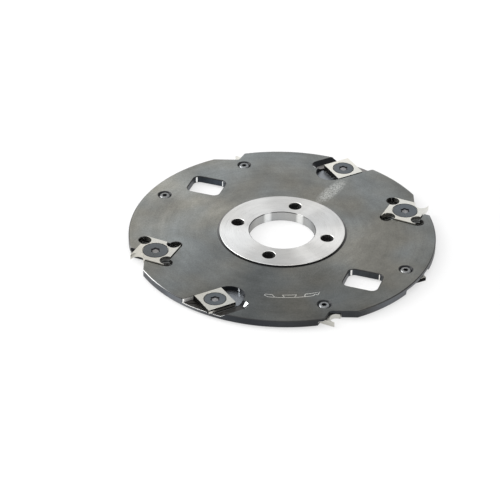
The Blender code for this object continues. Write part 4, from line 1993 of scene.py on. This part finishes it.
@dataclass
class RotationArrow:
    """The etched arrow that shows which way the cutter turns: a curved band drawn in outline."""

    line: float = 0.30 * MM
    proud: float = 0.012 * MM
    inner: float = 53.2 * MM
    outer: float = 55.2 * MM
    step: float = 0.5

    def arcs(self) -> list[tuple[float, float, float]]:
        """Return the arcs: radius, first azimuth and last azimuth."""
        return [
            (self.outer, -97.0, -75.2),
            (self.inner, -98.6, -95.2),
            (self.inner, -90.2, -83.2),
            (self.inner, -78.7, -72.4),
        ]

    def strokes(self) -> list[tuple[Point, Point]]:
        """Return the straight strokes, each between two places given as radius and azimuth."""
        middle = (self.inner + self.outer) / 2
        return [
            ((middle, -99.0), (self.inner, -98.6)),
            ((middle, -99.0), (self.outer, -97.0)),
            ((self.inner, -95.2), (self.outer, -93.8)),
            ((self.inner, -90.2), (self.outer, -89.0)),
            ((self.inner, -83.2), (self.outer, -84.4)),
            ((self.outer, -79.6), (self.inner, -78.7)),
            ((self.outer, -75.2), (middle, -74.0)),
            ((middle, -74.0), (self.outer, -73.0)),
            ((self.outer, -73.0), (self.inner, -71.4)),
        ]

    def build(self, face: float, material: bpy.types.Material) -> None:
        """Etch the arrow.

        Args:
            face: The height of the disc's face.
            material: The etching's material.
        """
        low, high = face - self.proud, face + self.proud
        bm = bmesh.new()
        for radius, first, last in self.arcs():
            near, far = radius - self.line / 2, radius + self.line / 2
            start = Matrix.Rotation(math.radians(first), 3, "Z")
            section = [(near, 0.0, low), (far, 0.0, low), (far, 0.0, high), (near, 0.0, high)]
            strip = bm.faces.new([bm.verts.new(start @ Vector(point)) for point in section])
            bmesh.ops.spin(
                bm,
                geom=[strip],
                axis=UP,
                cent=ORIGIN,
                angle=math.radians(last - first),
                steps=round((last - first) / self.step),
            )
        for ends in self.strokes():
            first, last = (polar(radius, azimuth, face) for radius, azimuth in ends)
            along = last - first
            place = Matrix.Translation((first + last) / 2)
            place = place @ Matrix.Rotation(math.atan2(along.y, along.x), 4, "Z")
            place = place @ Matrix.Diagonal((along.length + self.line / 2, self.line, high - low, 1.0))
            bmesh.ops.create_cube(bm, size=1.0, matrix=place)
        Workshop.piece("etched_arrow", Stock.closed(bm), [material], Slot.DISC)


@dataclass(frozen=True)
class Lamp:
    """A soft rectangular lamp that faces the cutter."""

    name: str
    place: tuple[float, float, float]
    size: Point
    watts: float

    def hang(self) -> None:
        """Hang the lamp."""
        data = bpy.data.lights.new(self.name, "AREA")
        data.shape = "RECTANGLE"
        data.size, data.size_y = self.size
        data.energy = self.watts
        lamp = bpy.data.objects.new(self.name, data)
        bpy.context.scene.collection.objects.link(lamp)
        lamp.location = self.place
        lamp.visible_camera = False
        lamp.rotation_mode = "QUATERNION"
        lamp.rotation_quaternion = (-Vector(self.place)).to_track_quat("-Z", "Y")


@dataclass
class Stage:
    """The white floor, the soft lamps and the camera.

    The floor glows a little less beside the cutter, so that its shadow shows. Its tone is lower for the rays
    that see it than for those that it lights the cutter by. The surroundings dim along two axes, each given
    with its level at the end and with where the dimming starts and ends.
    """

    aim: tuple[float, float, float] = (-15.30 * MM, -16.68 * MM, 4.35 * MM)
    elevation: float = 33.99
    roll: float = 0.86
    distance: float = 985.3 * MM
    lens: float = 150.0
    sensor_width: float = 36.0
    clip: tuple[float, float] = (0.01, 20.0)
    floor_radius: float = 3.0
    floor_steps: int = 64
    floor_gap: float = 0.15 * MM
    floor_glow: tuple[float, float] = (0.62, 1.0)
    floor_glow_span: tuple[float, float] = (0.11, 0.30)
    floor_seen: Colour = (0.28, 0.28, 0.28)
    floor_unseen: Colour = (0.6, 0.6, 0.6)
    fill: float = 0.5
    dim_sides: tuple[tuple[str, float, float, float], ...] = (
        ("Z", 0.4, 0.35, 0.85),
        ("Y", 0.6, 0.1, -0.7),
    )
    lamps: tuple[Lamp, ...] = (
        Lamp("key_lamp", (-1.25, 0.32, 0.66), (1.0, 1.0), 22.0),
        Lamp("back_lamp", (-0.05, 0.34, 0.17), (0.40, 0.12), 0.05),
        Lamp("top_lamp", (-0.2, -0.1, 1.2), (1.8, 1.8), 15.0),
        Lamp("right_front_lamp", (0.47, -0.37, 0.10), (0.5, 0.3), 1.0),
    )

    def camera(self) -> None:
        """Place the camera at the photograph's view."""
        data = bpy.data.cameras.new("camera")
        data.lens = self.lens
        data.sensor_width = self.sensor_width
        data.clip_start, data.clip_end = self.clip
        camera = bpy.data.objects.new("camera", data)
        bpy.context.scene.collection.objects.link(camera)
        rise = math.radians(self.elevation)
        back = Vector((0.0, -math.cos(rise), math.sin(rise)))
        right = Vector((1.0, 0.0, 0.0))
        up = back.cross(right)
        turn = math.radians(self.roll)
        across = math.cos(turn) * right + math.sin(turn) * up
        upward = math.cos(turn) * up - math.sin(turn) * right
        basis = Matrix((across, upward, back)).transposed().to_4x4()
        camera.matrix_world = Matrix.Translation(Vector(self.aim) + back * self.distance) @ basis
        bpy.context.scene.camera = camera

    def floor(self) -> None:
        """Lay the white floor, which keeps the object's shadow."""
        bm = bmesh.new()
        bmesh.ops.create_circle(bm, cap_ends=True, segments=self.floor_steps, radius=self.floor_radius)
        bmesh.ops.translate(bm, verts=bm.verts[:], vec=(0.0, 0.0, -self.floor_gap))
        floor = Workshop.object_of("floor", bm)
        material = bpy.data.materials.new("white_floor")
        material.use_nodes = True
        nodes = Nodes(material.node_tree)
        material.node_tree.nodes.clear()
        where = nodes.add("ShaderNodeTexCoord").outputs["Object"]
        away = nodes.vector("LENGTH", {0: where})
        strength = nodes.spread(away, *self.floor_glow, *self.floor_glow_span, soft=True)
        glow = nodes.add("ShaderNodeEmission", inputs={"Color": WHITE, "Strength": strength})
        paper = nodes.add("ShaderNodeBsdfDiffuse", inputs={"Color": rgba(self.floor_seen)})
        both = nodes.add("ShaderNodeAddShader", inputs={0: glow.outputs[0], 1: paper.outputs[0]})
        plain = nodes.add("ShaderNodeBsdfDiffuse", inputs={"Color": rgba(self.floor_unseen)})
        straight, glossy = self.seeing_rays(nodes)
        seen = nodes.math("MAXIMUM", straight, glossy)
        chosen = nodes.add("ShaderNodeMixShader", inputs={0: seen, 1: plain.outputs[0], 2: both.outputs[0]})
        nodes.add("ShaderNodeOutputMaterial", inputs={0: chosen.outputs[0]})
        floor.data.materials.append(material)

    @staticmethod
    def seeing_rays(nodes: Nodes) -> tuple[bpy.types.NodeSocket, bpy.types.NodeSocket]:
        """Tell the rays that see the white background from the rest.

        Args:
            nodes: The tree that asks.

        Returns:
            An output that is 1 for rays that come straight or through a gap, and one for mirrored rays.
        """
        path = nodes.add("ShaderNodeLightPath").outputs
        straight = nodes.math("MAXIMUM", path["Is Camera Ray"], path["Is Transmission Ray"])
        return straight, path["Is Glossy Ray"]

    def world(self) -> None:
        """Fill the surroundings: white behind the cutter, and softly darker toward the camera."""
        world = bpy.data.worlds.new("studio")
        bpy.context.scene.world = world
        world.use_nodes = True
        nodes = Nodes(world.node_tree)
        world.node_tree.nodes.clear()
        direction = nodes.add("ShaderNodeTexCoord").outputs["Generated"]
        parts = nodes.add("ShaderNodeSeparateXYZ", inputs={0: direction})
        dimming = [
            nodes.spread(parts.outputs["XYZ".index(axis)], 1.0, level, start, end, soft=True)
            for axis, level, start, end in self.dim_sides
        ]
        mirrored = nodes.math("MULTIPLY", *dimming)
        straight, glossy = self.seeing_rays(nodes)
        strength = nodes.choose(straight, nodes.choose(glossy, self.fill, mirrored), 1.0)
        fill = nodes.add("ShaderNodeBackground", inputs={"Color": WHITE, "Strength": strength})
        nodes.add("ShaderNodeOutputWorld", inputs={0: fill.outputs[0]})

    def build(self) -> None:
        """Set the whole stage."""
        bpy.context.scene.view_settings.view_transform = "Standard"
        self.camera()
        self.floor()
        self.world()
        for lamp in self.lamps:
            lamp.hang()


def main() -> None:
    """Build the cutter's looks and its stage."""
    logging.basicConfig(level=logging.INFO, format="%(message)s")
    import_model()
    heights = Heights()
    finishes = Finishes()
    kinds: list[InsertKind] = [Knives(heights), Spurs(heights)]
    Disc(heights).build(kinds, finishes)
    for kind in kinds:
        kind.build(finishes)
    RotationArrow().build(heights.face, finishes.etching)
    Stage().build()


if __name__ == "__main__":
    main()
